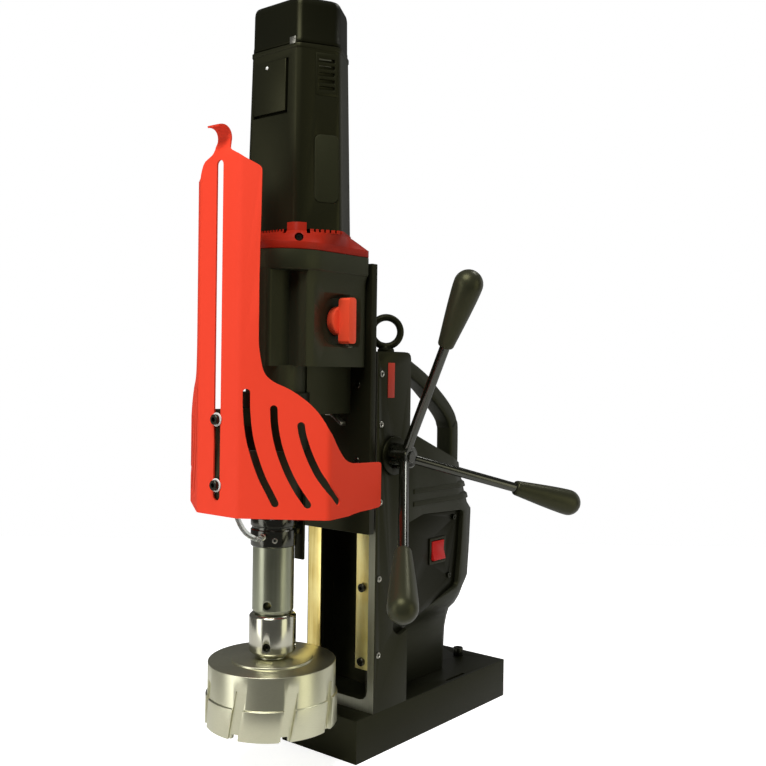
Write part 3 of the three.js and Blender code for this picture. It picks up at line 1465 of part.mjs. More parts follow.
let sleeve = turned([
  [sleeveSocket, sleeveFoot],
  [sleeveRadius - sleeveChamfer, sleeveFoot],
  [sleeveRadius, sleeveFoot + sleeveChamfer],
  [sleeveRadius, sleeveTop - sleeveTopChamfer],
  [sleeveRadius - sleeveTopChamfer, sleeveTop],
  [0, sleeveTop],
  [0, shankTop + fit],
  [sleeveSocket, shankTop + fit],
  [sleeveSocket, sleeveFoot],
], 'z', sides);
sleeveScrewTurns.forEach((turn) => {
  sleeve = sleeve.subtract(rod('y', crossHoleRadius, -sleeveRadius * 2, -sleeveSocket + 1, [0, sleeveScrewHeight], 16)
    .rotate([0, 0, turn]));
});
piece(spindleGroup, 'arbor_sleeve', chrome, sleeve);

const cutterInner = cutterRadius - cutterWall;
let cutter = turned([
  [cutterInner, cutterFoot],
  [cutterRimRadius, cutterFoot],
  [cutterRimRadius, cutterRimTop],
  [cutterRadius, cutterRimTop + 1],
  [cutterRadius, cutterTop - cutterChamfer],
  [cutterRadius - cutterChamfer, cutterTop],
  [bossRadius, cutterTop],
  [bossRadius, cutterTop + bossHeight - cutterChamfer],
  [bossRadius - cutterChamfer, cutterTop + bossHeight],
  [shankRadius, cutterTop + bossHeight],
  [shankRadius, shankTop],
  [0, shankTop],
  [0, cutterTop - cutterRoof],
  [cutterInner, cutterTop - cutterRoof],
  [cutterInner, cutterFoot],
], 'z', fineSides);
const fluteHeight = fluteTop - cutterFoot + overrun;
for (let k = 0; k < flutes; k += 1) {
  const turn = fluteStart + 360 * k / flutes;
  const flute = block([-fluteWidth / 2, fluteWidth / 2], [-cutterRimRadius - overrun, -fluteRoot], [-fluteHeight, 0])
    .rotate([0, fluteLean, 0])
    .translate([0, 0, fluteTop])
    .rotate([0, 0, turn]);
  const gulletTurn = turn - THREE.MathUtils.radToDeg(
    (fluteTop - cutterFoot) * Math.tan(THREE.MathUtils.degToRad(fluteLean)) / cutterRimRadius);
  const gullet = block([-gulletWidth / 2, gulletWidth / 2], [-cutterRimRadius - overrun, -cutterInner + overrun],
    [cutterFoot - overrun, cutterFoot + gulletHeight]).rotate([0, 0, gulletTurn]);
  cutter = cutter.subtract(flute).subtract(gullet);
}
piece(spindleGroup, 'annular_cutter', cutterSteel, cutter);

const meshTurn = THREE.MathUtils.radToDeg(Math.atan2(idlerY - spindleY, idlerX));
piece(spindleGroup, 'spindle_gear', steel,
  prism(gearOutline(trainModule, spindleTeeth), 'z', trainFoot, trainFoot + trainWidth)
    .rotate([0, 0, meshTurn])
    .subtract(rod('z', spindleStem + fit, trainFoot - overrun, trainUpper)));

// Intermediate gear: its pinion turns the spindle gear, its wheel is turned by the rotor
const idler = new THREE.Group();
idler.position.set(idlerX, idlerY, 0);
carriage.add(idler);
const toSpindle = THREE.MathUtils.radToDeg(Math.atan2(spindleY - idlerY, -idlerX));
const toRotor = THREE.MathUtils.radToDeg(Math.atan2(motorY - idlerY, -idlerX));
const idlerToothTurn = 180 / idlerPinionTeeth;
piece(idler, 'idler_gear', steel,
  prism(gearOutline(trainModule, idlerPinionTeeth), 'z', trainFoot, trainUpper + 1)
    .rotate([0, 0, toSpindle + idlerToothTurn])
    .add(prism(gearOutline(trainModule, idlerTeeth), 'z', trainUpper, trainUpper + trainWidth)
      .rotate([0, 0, toRotor]))
    .add(rod('z', idlerShaft, chamberFloor - gearFloor / 2 + fit, bandTop - fit, [0, 0], 20)));

// Motor rotor with its pinion, fan, armature and commutator
const rotor = new THREE.Group();
rotor.position.set(0, motorY, 0);
carriage.add(rotor);
const rotorToothTurn = 180 / rotorTeeth;
const toIdler = THREE.MathUtils.radToDeg(Math.atan2(idlerY - motorY, idlerX));
piece(rotor, 'motor_rotor', steel,
  prism(gearOutline(trainModule, rotorTeeth), 'z', trainUpper, trainUpper + trainWidth)
    .rotate([0, 0, toIdler + rotorToothTurn])
    .add(rod('z', stationShaft, trainUpper, motorShoulder + motorBossDepth - 1, [0, 0], 24))
    .add(rod('z', fanRadius, fanFoot, fanFoot + fanHeight, [0, 0]))
    .add(rod('z', armatureRadius, statorFoot + 4, statorFoot + statorHeight - 4))
    .add(rod('z', commutatorRadius, commutatorFoot, commutatorFoot + commutatorHeight)));

export default drill;
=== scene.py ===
from math import acos, atan2, cos, degrees, dist, hypot, pi, radians, sin, tan
import bmesh
import bpy
from mathutils import Matrix, Vector


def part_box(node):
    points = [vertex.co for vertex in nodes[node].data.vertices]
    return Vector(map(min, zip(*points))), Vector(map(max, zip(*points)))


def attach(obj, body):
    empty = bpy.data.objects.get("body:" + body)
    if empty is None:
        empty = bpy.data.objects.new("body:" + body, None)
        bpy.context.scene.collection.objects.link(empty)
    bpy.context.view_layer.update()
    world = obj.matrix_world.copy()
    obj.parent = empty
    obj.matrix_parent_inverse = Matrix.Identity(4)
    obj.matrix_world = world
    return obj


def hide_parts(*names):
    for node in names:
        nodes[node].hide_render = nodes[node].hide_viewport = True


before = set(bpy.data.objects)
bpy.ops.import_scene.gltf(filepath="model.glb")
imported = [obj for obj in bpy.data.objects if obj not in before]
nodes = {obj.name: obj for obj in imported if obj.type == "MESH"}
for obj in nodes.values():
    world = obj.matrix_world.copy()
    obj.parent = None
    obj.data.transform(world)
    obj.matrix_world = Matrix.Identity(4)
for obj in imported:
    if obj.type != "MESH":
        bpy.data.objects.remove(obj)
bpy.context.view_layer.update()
print("frame loaded:", len(nodes), "nodes")

mm = 0.001
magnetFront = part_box("magnet_base")[0].y  # places along Y are counted back from here


# the dictionary of a piece, whose values are also read with a dot

class Sizes(dict):
    __getattr__ = dict.__getitem__

    def pick(self, names):
        return (self[name] for name in names.split())


def place(x, y, z):
    return Vector((x * mm, magnetFront + y * mm, z * mm))


def newObject(name, data):
    piece = bpy.data.objects.new(name, data)
    bpy.context.scene.collection.objects.link(piece)
    return piece


# camera, at the photograph's station point

view = Sizes(x=797.8, y=-872.1, z=471.1, azimuth=38.89, elevation=0.82, roll=0.84, lens=45.41)


def addCamera():
    azimuth, elevation, roll = (radians(angle) for angle in view.pick("azimuth elevation roll"))
    back = Vector((sin(azimuth) * cos(elevation), -cos(azimuth) * cos(elevation), sin(elevation)))
    right = Vector((0, 0, 1)).cross(back).normalized()
    up = back.cross(right)
    data = bpy.data.cameras.new("photoCamera")
    data.lens = view.lens
    data.sensor_width = 36
    data.clip_end = 20
    camera = newObject("photoCamera", data)
    turn = Matrix((right * cos(roll) + up * sin(roll), up * cos(roll) - right * sin(roll), back)).transposed()
    camera.matrix_world = Matrix.Translation(place(view.x, view.y, view.z)) @ turn.to_4x4()
    bpy.context.scene.camera = camera


addCamera()
print("camera set")


# shader sums written as plain expressions

class Wire:
    def __init__(self, paint, socket):
        self.paint, self.socket = paint, socket

    def sum(self, operation, *terms):
        return self.paint.add("ShaderNodeMath", {"operation": operation}, dict(enumerate(terms)))

    def __add__(self, other):
        return self.sum("ADD", self, other)

    def __radd__(self, other):
        return self.sum("ADD", other, self)

    def __sub__(self, other):
        return self.sum("SUBTRACT", self, other)

    def __rsub__(self, other):
        return self.sum("SUBTRACT", other, self)

    def __mul__(self, other):
        return self.sum("MULTIPLY", self, other)

    def __rmul__(self, other):
        return self.sum("MULTIPLY", other, self)

    def above(self, other):
        return self.sum("GREATER_THAN", self, other)


class Paint:
    sockets = {"colour": "Base Color", "rough": "Roughness", "metal": "Metallic", "specular": "Specular IOR Level",
               "tint": "Specular Tint", "ior": "IOR", "clear": "Transmission Weight"}

    def __init__(self, owner):
        owner.use_nodes = True
        self.owner, self.tree = owner, owner.node_tree
        self.shader = self.tree.nodes.get("Principled BSDF")

    def add(self, kind, settings, values, output=0):
        node = self.tree.nodes.new(kind)
        for key, value in settings.items():
            setattr(node, key, value)
        self.fill(node, values)
        return Wire(self, node.outputs[output])

    def fill(self, node, values):
        for key, value in values.items():
            socket = node.inputs[key]
            if isinstance(value, Wire):
                self.tree.links.new(value.socket, socket)
            elif isinstance(value, tuple) and len(value) == 3 and socket.type == "RGBA":
                socket.default_value = (*value, 1)
            else:
                socket.default_value = value

    def noise(self, scale, detail=2, rough=0.5, stretch=(1, 1, 1)):
        spot = self.add("ShaderNodeTexCoord", {}, {}, "Object")
        spot = self.add("ShaderNodeVectorMath", {"operation": "MULTIPLY"}, {0: spot, 1: stretch})
        values = {"Vector": spot, "Scale": scale, "Detail": detail, "Roughness": rough}
        return self.add("ShaderNodeTexNoise", {}, values)

    def mix(self, factor, first, second):
        return self.add("ShaderNodeMix", {"data_type": "RGBA"}, {0: factor, 6: first, 7: second}, 2)

    def ramp(self, value, low, high):
        return self.add("ShaderNodeMapRange", {}, {0: value, 1: low, 2: high, 3: 0.0, 4: 1.0})

    def bump(self, height, strength, distance):
        normal = self.add("ShaderNodeBump", {}, {"Height": height, "Strength": strength, "Distance": distance})
        self.fill(self.shader, {"Normal": normal})

    def set(self, **values):
        self.fill(self.shader, {self.sockets[key]: value for key, value in values.items()})


white = (1, 1, 1, 1)
olive = (1, 0.98, 0.5, 1)


def grained(paint, colour, shade, rough, specular, tint, cloud, grain, detail, strength, depth, swing):
    clouds, grains = paint.noise(cloud, 3), paint.noise(grain, detail)
    paint.bump(grains, strength, depth)
    paint.set(colour=paint.mix(clouds, colour, shade), rough=rough + grains * swing - swing / 2, specular=specular,
              tint=tint)


def powder(paint, colour, shade, rough, specular=0.3, tint=olive, grain=1500, depth=0.00012):
    grained(paint, colour, shade, rough, specular, tint, 9, grain, 1, 0.25, depth, 0.12)


def plastic(paint, colour, shade, rough, specular=0.3, tint=olive):
    grained(paint, colour, shade, rough, specular, tint, 14, 2600, 2, 0.3, 0.0001, 0.14)


def metal(paint, colour, shade, rough, stretch, scale=420):
    lines = paint.noise(scale, 3, 0.6, stretch)
    cloud = paint.noise(22, 3)
    paint.bump(lines, 0.35, 0.000012)
    tone = paint.mix(paint.ramp(cloud * 0.5 + lines * 0.5, 0.35, 0.65), colour, shade)
    paint.set(colour=tone, rough=rough + lines * 0.12 - 0.06, metal=1.0)


# the column's front faces are ground bare down to this depth, the rest is painted

bareDepth = 31.2


def columnCoat(paint):
    speckle = paint.noise(1500, 1)
    streak = paint.noise(500, 3, 0.6, (1, 1, 0.03))
    spot, facing = (
        0 - paint.add("ShaderNodeSeparateXYZ", {}, {0: paint.add("ShaderNodeNewGeometry", {}, {}, field)}, "Y")
        for field in ("Position", "True Normal"))
    bare = spot.above(-magnetFront - bareDepth * mm) * facing.above(0.9)
    steel = paint.mix(streak, (0.3, 0.3, 0.23), (0.42, 0.42, 0.33))
    paint.bump(speckle, 0.25, 0.00012)
    paint.set(colour=paint.mix(bare, (0.0075, 0.008, 0.0042), steel), rough=0.42 + speckle * 0.1, metal=bare,
              specular=0.24, tint=olive)


def clearPlastic(paint):
    haze = paint.noise(160, 2)
    paint.set(colour=(0.86, 0.9, 0.84), rough=0.08 + haze * 0.08, clear=0.85, ior=1.42)


# each finish: its slot, its maker, then two colours, roughness and what else the maker takes

finishPlan = {
    "blackPaint": ("black_paint", powder, (0.0065, 0.007, 0.0036), (0.0085, 0.009, 0.0048), 0.44, 0.21),
    "castPaint": (
        "black_paint", powder, (0.018, 0.0195, 0.0115), (0.023, 0.025, 0.015), 0.46, 0.3, olive, 1100, 0.0002),
    "motorPlastic": ("black_plastic", plastic, (0.0052, 0.0054, 0.0026), (0.0075, 0.0078, 0.0038), 0.4, 0.27),
    # plasticPaintedShade: a darker copy of the motor's black plastic, painted shade for the motor cap where the light
    # falls off at the top; the pinion bush and the control panel take it too
    "plasticPaintedShade": ("black_plastic", plastic, (0.0028, 0.003, 0.0014), (0.004, 0.0042, 0.002), 0.38, 0.16),
    "padRubber": ("black_plastic", plastic, (0.017, 0.018, 0.0095), (0.021, 0.022, 0.012), 0.6, 0.15),
    "housingPlastic": ("black_plastic", plastic, (0.0095, 0.0105, 0.006), (0.0125, 0.0135, 0.008), 0.44, 0.22),
    "knobPlastic": ("black_plastic", plastic, (0.021, 0.0215, 0.0125), (0.026, 0.0265, 0.016), 0.36),
    "glossBlack": ("black_paint", plastic, (0.004, 0.0042, 0.0025), (0.005, 0.0052, 0.003), 0.12, 0.9, (1, 1, 0.86, 1)),
    "guardPaint": ("red_paint", powder, (0.84, 0.056, 0.024), (0.87, 0.062, 0.028), 0.55, 0.08, white, 1700, 0.00008),
    "coverRed": ("red_paint", plastic, (0.32, 0.0155, 0.0055), (0.39, 0.02, 0.0075), 0.4, 0.13, white),
    "switchRed": ("red_plastic", plastic, (0.93, 0.085, 0.033), (0.96, 0.095, 0.04), 0.4, 0.15, white),
    "rockerRed": ("red_plastic", plastic, (0.47, 0.01, 0.009), (0.58, 0.017, 0.013), 0.35, 0.15, white),
    "labelRed": ("red_plastic", plastic, (0.42, 0.035, 0.018), (0.47, 0.042, 0.022), 0.5, 0.2, white),
    "spindleSteel": ("steel", metal, (0.27, 0.28, 0.2), (0.33, 0.34, 0.25), 0.3, (1, 1, 0.02)),
    "polishedSteel": ("chrome", metal, (0.48, 0.47, 0.38), (0.58, 0.57, 0.47), 0.19, (1, 1, 12), 300),
    "cutterSteel": ("cutter_steel", metal, (0.54, 0.53, 0.385), (0.64, 0.63, 0.465), 0.33, (1, 1, 16), 260),
    # steelPaintedHighlight: bright steel strips in the vent slots, a painted highlight where the plastic slats catch
    # the light
    "steelPaintedHighlight": ("steel", metal, (0.2, 0.2, 0.155), (0.27, 0.27, 0.21), 0.4, (1, 1, 0.05)),
    "screwSteel": ("steel", metal, (0.34, 0.33, 0.28), (0.44, 0.43, 0.37), 0.3, (1, 1, 1), 900),
    "darkSteel": ("steel", metal, (0.035, 0.035, 0.026), (0.055, 0.055, 0.042), 0.35, (1, 1, 1), 900),
    "brass": ("brass", metal, (0.6, 0.44, 0.12), (0.95, 0.84, 0.36), 0.3, (1, 1, 0.04), 160),
    # brassPaintedLight: a lighter copy of the brass, painted light for the right gib, which stands in the column's
    # shade
    "brassPaintedLight": ("brass", metal, (0.85, 0.66, 0.2), (1.0, 0.92, 0.45), 0.42, (1, 1, 0.04), 160),
    "copper": ("copper", metal, (0.6, 0.25, 0.1), (0.7, 0.32, 0.14), 0.4, (0.1, 0.1, 8)),
    "resin": ("resin", plastic, (0.012, 0.012, 0.012), (0.02, 0.02, 0.02), 0.6),
    "board": ("board", plastic, (0.01, 0.09, 0.03), (0.015, 0.12, 0.04), 0.4, 0.3, white),
    "washerWhite": ("steel", plastic, (0.75, 0.75, 0.7), (0.8, 0.8, 0.75), 0.4, 0.3, white),
    "hoseClear": ("clear_hose", clearPlastic),
    "columnPaint": ("black_paint", columnCoat),
}
finishes = {}
for name, (slot, maker, *values) in finishPlan.items():
    finishes[name] = bpy.data.materials.new(name)
    maker(Paint(finishes[name]), *values)
print("finishes made:", len(finishes))


# mesh makers

def fromBmesh(name, work):
    bmesh.ops.recalc_face_normals(work, faces=work.faces)
    mesh = bpy.data.meshes.new(name)
    work.to_mesh(mesh)
    work.free()
    return newObject(name, mesh)


def ringsToObject(name, rings, closed=False):
    work = bmesh.new()
    made = [[work.verts.new(point) for point in ring] for ring in rings]
    pairs = list(zip(made, made[1:]))
    if closed:
        pairs.append((made[-1], made[0]))
    for low, high in pairs:
        count = max(len(low), len(high))
        for k in range(count):
            n = (k + 1) % count
            corners = [low[k % len(low)], low[n % len(low)], high[n % len(high)], high[k % len(high)]]
            kept = [v for i, v in enumerate(corners) if v not in corners[:i]]
            if len(kept) > 2:
                work.faces.new(kept)
    if not closed:
        for end in (made[0], made[-1]):
            if len(end) > 2:
                work.faces.new(end)
    return fromBmesh(name, work)


def circle(count):
    return [2 * pi * k / count for k in range(count)]


def lathe(name, profile, centre, axis=(0, 0, 1), count=96, closed=False):
    along = Vector(axis).normalized()
    side = (Vector((0, 0, 1)).cross(along) if abs(along.z) < 0.9 else Vector((1, 0, 0))).normalized()
    other = along.cross(side).normalized()
    rings = []
    for radius, height in profile:
        middle = Vector(centre) + along * height * mm
        rings.append([middle] if radius <= 0 else [
            middle + (side * cos(angle) + other * sin(angle)) * radius * mm for angle in circle(count)])
    return ringsToObject(name, rings, closed)


def arc(centre, radius, start, end, steps):
    angles = [radians(start + (end - start) * k / steps) for k in range(steps + 1)]
    return [(centre[0] + radius * cos(a), centre[1] + radius * sin(a)) for a in angles]


def rounded(corners, steps=6):
    points = []
    for i, (a, b, radius) in enumerate(corners):
        corner = Vector((a, b))
        if radius <= 0:
            points.append((a, b))
            continue
        back = (Vector(corners[i - 1][:2]) - corner).normalized()
        ahead = (Vector(corners[(i + 1) % len(corners)][:2]) - corner).normalized()
        half = acos(max(-1, min(1, back.dot(ahead)))) / 2
        middle = corner + (back + ahead).normalized() * (radius / sin(half))
        start, end = (corner + way * (radius / tan(half)) - middle for way in (back, ahead))
        sweep = atan2(start.x * end.y - start.y * end.x, start.dot(end))
        for k in range(steps + 1):
            c, s = cos(sweep * k / steps), sin(sweep * k / steps)
            points.append(tuple(Vector((start.x * c - start.y * s, start.x * s + start.y * c)) + middle))
    return points


def smoothLine(points, steps=6):
    out = []
    for i in range(len(points) - 1):
        p0 = Vector(points[max(i - 1, 0)])
        p1, p2 = Vector(points[i]), Vector(points[i + 1])
        p3 = Vector(points[min(i + 2, len(points) - 1)])
        for t in (k / steps for k in range(steps)):
            out.append(tuple(0.5 * (
                2 * p1 + (p2 - p0) * t + (2 * p0 - 5 * p1 + 4 * p2 - p3) * t * t
                + (3 * p1 - p0 - 3 * p2 + p3) * t * t * t)))
    out.append(tuple(points[-1]))
    return out


def sideAt(points, i):
    along = (Vector(points[min(i + 1, len(points) - 1)]) - Vector(points[max(i - 1, 0)])).normalized()
    return Vector((-along.y, along.x))


def planBox(half, front, rear, frontRadius, rearRadius, steps, middle=0):
    left, right = middle - half, middle + half
    return rounded([
        (left, front, frontRadius), (right, front, frontRadius), (right, rear, rearRadius), (left, rear, rearRadius)],
        steps)


axisOrder = {"x": lambda a, b, c: place(c, a, b), "y": lambda a, b, c: place(a, c, b), "z": place}


def prism(outline, axis, low, high, name="tool"):
    return ringsToObject(name, [[axisOrder[axis](a, b, end) for a, b in outline] for end in (low, high)])


def rod(axis, radius, low, high, centre, count=40):
    outline = [(centre[0] + radius * cos(angle), centre[1] + radius * sin(angle)) for angle in circle(count)]
    return prism(outline, axis, low, high)


def block(x, y, z, name="tool"):
    return prism([(x[0], y[0]), (x[1], y[0]), (x[1], y[1]), (x[0], y[1])], "z", *z, name)


def loft(name, levels):
    return ringsToObject(name, [[place(x, y, z) for x, y in outline] for z, outline in levels])


def turned(tool, spot, angle, axis="Z", lift=0, lean=0):
    turn = Matrix.Translation(spot) @ Matrix.Rotation(angle, 4, axis) @ Matrix.Translation((0, 0, lift * mm))
    tool.data.transform(turn @ Matrix.Rotation(lean, 4, "Y") @ Matrix.Translation(-place(0, 0, 0)))
    return tool


def addLine(data, points):
    spline = data.splines.new("POLY")
    spline.points.add(len(points) - 1)
    for point, spot in zip(spline.points, points):
        point.co = (*spot, 1)
    return spline


def finalMesh(piece):
    graph = bpy.context.evaluated_depsgraph_get()
    graph.update()
    return bpy.data.meshes.new_from_object(piece.evaluated_get(graph))


def modify(piece, kind, **settings):
    step = piece.modifiers.new(kind.lower(), kind)
    for key, value in settings.items():
        setattr(step, key, value)


def applyAll(piece):
    old, piece.data = piece.data, finalMesh(piece)
    piece.modifiers.clear()
    bpy.data.meshes.remove(old)
    return piece


def combine(piece, tools, operation):
    for tool in tools:
        modify(piece, "BOOLEAN", operation=operation, object=tool, solver="EXACT")
    applyAll(piece)
    for tool in tools:
        data = tool.data
        bpy.data.objects.remove(tool)
        bpy.data.meshes.remove(data)
    return piece


def cut(piece, *tools):
    return combine(piece, tools, "DIFFERENCE")


def join(piece, *tools):
    return combine(piece, tools, "UNION")


def flatten(piece):
    modify(piece, "DECIMATE", decimate_type="DISSOLVE", angle_limit=radians(0.6))


def bevel(piece, width, segments, angle, **settings):
    modify(piece, "BEVEL", width=width * mm, segments=segments, limit_method="ANGLE", angle_limit=radians(angle),
           **settings)


def smooth(piece):
    faces = piece.data.polygons
    faces.foreach_set("use_smooth", [True] * len(faces))


def shade(piece, angle=40):
    smooth(piece)
    piece.data.set_sharp_from_angle(angle=radians(angle))
    return piece


def soften(piece, width, segments=2, angle=32, dissolve=True):
    if dissolve:
        flatten(piece)
    if width > 0:
        bevel(piece, width, segments, angle, use_clamp_overlap=True)
    return shade(applyAll(piece))


def coat(piece, finish):
    piece.data.materials.clear()
    piece.data.materials.append(finishes[finish])


def settle(piece, finish, body, *replaced):
    coat(piece, finish)
    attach(piece, body)
    if replaced:
        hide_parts(*replaced)


def turnedPiece(name, profile, seat, axis, count, finish, body, *replaced, angle=40):
    settle(shade(lathe(name, profile, seat, axis, count), angle), finish, body, *replaced)


# a CAD node that keeps its own mesh gets its finish and softened edges

def dress(node, finish, width):
    piece = nodes[node]
    coat(piece, finish)
    smooth(piece)
    modify(piece, "WELD", merge_threshold=0.002 * mm)
    flatten(piece)
    bevel(piece, width, 2, 32, harden_normals=True)


# spots on the spindle's axis, and beside it in a direction turned away from the drill's front

spin = Sizes(y=-80.5, radius=24, foot=188.5, shoulder=472, stem=12, top=592.5, hole=4.7, holeHeight=200, holeTurn=29)
axisFoot = place(0, spin.y, 0)
axisPlan = (0, spin.y)


def heading(turn):
    return Vector((sin(radians(turn)), -cos(radians(turn)), 0))


def axisSeat(turn, reach, height):
    out = heading(turn)
    return axisFoot + out * reach * mm + Vector((0, 0, height * mm)), out


def crossDrill(radius, low, high, height, turn):
    return turned(rod("y", radius, low, high, (0, 0)), axisFoot, radians(turn), lift=height)


# clear hose from the housing's barb to the collar's fitting

hose = Sizes(
    points=[(-19, -115, 461.7), (-19, -115, 451.7), (-22.5, -118, 440), (-25, -121, 415), (-22, -127, 385),
            (-13, -135, 350), (-2, -141, 320), (5.5, -142, 303), (12, -136, 288)],
    radius=3, fittingTurn=21, height=279.5, reach=9, gap=0.3)


def makeHose():
    out = heading(hose.fittingTurn)
    end = collar.radius + hose.reach + 2 * hose.gap
    points = [*hose.points]
    for distance in (end + hose.reach, end):
        points.append((out.x * distance, spin.y + out.y * distance, hose.height))
    spots = [place(*spot) for spot in smoothLine(points, 3)]
    data = bpy.data.curves.new("coolantHose", "CURVE")
    data.dimensions = "3D"
    data.bevel_depth = hose.radius * mm
    data.bevel_resolution = 5
    data.use_fill_caps = True
    addLine(data, spots).use_smooth = True
    piece = newObject("coolantHose", data)
    settle(piece, "hoseClear", "carriage", "coolant_hose")


# chip guard: one flat blank with its slots, bent along the facets' edges and curled at the hook

guard = Sizes(
    front=-168.9, frontHalf=31.8, slantEnd=(112.3, -111), wingEnd=(99.7, -9.2), foot=309.5, sheet=2, bend=4.5,
    neckTop=700, slotHalf=5.2, slot=(325.6, 694.9), slit=8.3, hookSteps=26)
hookLine = [
    (-168.9, 700), (-168, 705), (-165.5, 710.5), (-163.8, 716), (-163.6, 720.5), (-165.2, 725.2), (-169, 728.5),
    (-174.5, 729.3), (-180.5, 727.8)]
shoulderLine = [
    (21.6, 520), (21.7, 500), (22.5, 490), (25.2, 474.5), (29, 464), (38, 456), (56.5, 447.4), (73.5, 436.1),
    (84.9, 425.5), (93.5, 414)]
wingLine = [(5.1, 398.6), (15.3, 385.4), (25.6, 375), (33.4, 370.2), (43.8, 367.4), (56.9, 366.3), (80, 365.2)]
stripLine = [(21.5, 560), (22, 600), (22.8, 640), (23.2, 678.5), (23, 681.6), (21.9, 684.2), (19.3, 686.3), (8, 692.3)]
slitLines = [
    [(9.2, 444), (9.7, 423.8), (12.6, 398.7), (18.5, 376.3), (26.7, 354.1), (35.4, 337.4), (41.2, 326.3)],
    [(38.8, 427), (40.2, 407.6), (45, 385.3), (53.4, 363), (63.5, 343.6), (76, 325.7)],
    [(68.3, 409.5), (70.4, 398.3), (77.1, 378.9), (85.8, 360.9), (93, 350.3), (99.2, 343), (107, 335.3), (115, 328)],
]


def guardContour(bend, second, end):
    foot = guard.foot
    top = guard.neckTop + sum(dist(a, b) for a, b in zip(hookLine, hookLine[1:]))
    edge = [(bend + u, z) for u, z in shoulderLine] + [(second, 405)] + [(second + u, z) for u, z in wingLine]
    right = [
        (0, foot), (bend, foot), (second, foot), (second + 37, foot + 0.3), (second + 47, foot + 1.6),
        (second + 61, foot + 2.5), (second + 80, foot + 2.5), (end - 5, foot + 3.2), (end - 1.6, foot + 4.2),
        (end, foot + 7), (end, 361.2), (end - 1, 363.4), (end - 4, 364.4), *reversed(smoothLine(edge, 5)),
        *[(bend + u, z) for u, z in stripLine]]
    neck = [(11.4, 711), (10.4, 716), (10.3, 722), (10, top - 9), (9.6, top - 2.8), (8.6, top - 0.9), (7, top)]
    left = [(-u, z) for u, z in reversed(neck)] + [
        (-10.6, 706.5), (-11.6, 703.4), (-14, 701), (-24.5, 695.9), (-27.5, 692.5), (-bend, 684), (-bend - 3, 678.5)]
    left += [(-u, z) for u, z in reversed(right) if u > 0 and z < 679 and not (bend < u < bend + 8 and z > 650)]
    return right + [(bend, 696.9), (24.2, 700.7), (16, 705), (13, 707.6), *neck] + left


def stroke(points, width):
    half = width / 2
    left, right, caps = [], [], []
    for i, point in enumerate(points):
        side = sideAt(points, i) * half
        left.append(tuple(Vector(point) + side))
        right.append(tuple(Vector(point) - side))
    for here, other in ((points[-1], points[-2]), (points[0], points[1])):
        angle = atan2(here[1] - other[1], here[0] - other[0])
        turns = [angle + pi / 2 - pi * k / 8 for k in range(1, 8)]
        caps.append([(here[0] + half * cos(t), here[1] + half * sin(t)) for t in turns])
    return left + caps[0] + right[::-1] + caps[1]


def flatBlank(loops):
    data = bpy.data.curves.new("blank", "CURVE")
    data.dimensions = "2D"
    data.fill_mode = "BOTH"
    data.extrude = guard.sheet / 2
    for loop in loops:
        addLine(data, [(u, z, 0) for u, z in loop]).use_cyclic_u = True
    shape = newObject("blank", data)
    mesh = finalMesh(shape)
    bpy.data.objects.remove(shape)
    work = bmesh.new()
    work.from_mesh(mesh)
    bpy.data.meshes.remove(mesh)
    bmesh.ops.remove_doubles(work, verts=work.verts, dist=0.002)
    return work


def crease(work, normal, value):
    bmesh.ops.bisect_plane(work, geom=[*work.verts, *work.edges, *work.faces], dist=0.001,
                           plane_co=Vector(normal) * value, plane_no=normal)


def bentPath(bends, zone, end, step):
    table = [(0.0, 0.0, 0.0)]
    x = y = 0.0
    for k in range(int(end / step) + 2):
        u = (k + 0.5) * step
        angle = sum(turn * max(0, min(1, (u - spot + zone) / (2 * zone))) for spot, turn in bends)
        x += cos(angle) * step
        y += sin(angle) * step
        table.append((x, y, angle))
    return table


def runs(points):
    lengths = [0]
    for a, b in zip(points, points[1:]):
        lengths.append(lengths[-1] + dist(a, b))
    return lengths


def makeGuard():
    front, bend, zone, neckTop = guard.pick("front frontHalf bend neckTop")
    (slantX, slantY), (wingX, wingY) = guard.pick("slantEnd wingEnd")
    second = bend + hypot(slantX - bend, slantY - front)
    end = second + hypot(wingX - slantX, wingY - slantY)
    slantAngle, wingAngle = atan2(slantY - front, slantX - bend), atan2(wingY - slantY, wingX - slantX)
    slot = [(0, guard.slot[0] + guard.slotHalf), (0, guard.slot[1] - guard.slotHalf)]
    loops = [guardContour(bend, second, end), stroke(slot, 2 * guard.slotHalf)]
    for line in slitLines:
        loops.append(stroke(smoothLine([(u + bend, z) for u, z in line], 4), guard.slit))
        loops.append([(-u, z) for u, z in loops[-1]])
    work = flatBlank(loops)
    for spot in (bend, second):
        for k in range(9):
            for sign in (-1, 1):
                crease(work, (1, 0, 0), sign * (spot - zone + 2 * zone * k / 8))
    for k in range(guard.hookSteps):
        crease(work, (0, 1, 0), neckTop + runs(hookLine)[-1] * k / guard.hookSteps)
    step = 0.25
    table = bentPath([(bend, slantAngle), (second, wingAngle - slantAngle)], zone, end + 2, step)
    hook = smoothLine(hookLine, 8)
    lengths = runs(hook)
    for vert in work.verts:
        u, z, n = vert.co
        depth = n + guard.sheet / 2
        t = min(abs(u) / step, len(table) - 2)
        k = int(t)
        x, y, angle = (a + (b - a) * (t - k) for a, b in zip(table[k], table[k + 1]))
        x = (x - sin(angle) * depth) * (1 if u >= 0 else -1)
        lift = z - neckTop
        if lift > 0:
            m = max(1, next((i for i, v in enumerate(lengths) if v >= lift - 1e-6), len(hook) - 1))
            part = (lift - lengths[m - 1]) / max(1e-6, lengths[m] - lengths[m - 1])
            a, b = Vector(hook[m - 1]), Vector(hook[m])
            spot = a + (b - a) * min(1, part)
            along = (b - a).normalized()
            inward = Vector((along.y, -along.x)) * depth
            vert.co = place(x, spot.x + inward.x, spot.y + inward.y)
        else:
            vert.co = place(x, front + (y + cos(angle) * depth), z)
    piece = soften(fromBmesh("chipGuard", work), 0.3, 2, 50, dissolve=False)
    settle(piece, "guardPaint", "guard", "chip_guard")
    print("guard made:", len(piece.data.vertices), "points")


# spindle, sleeve and cutter

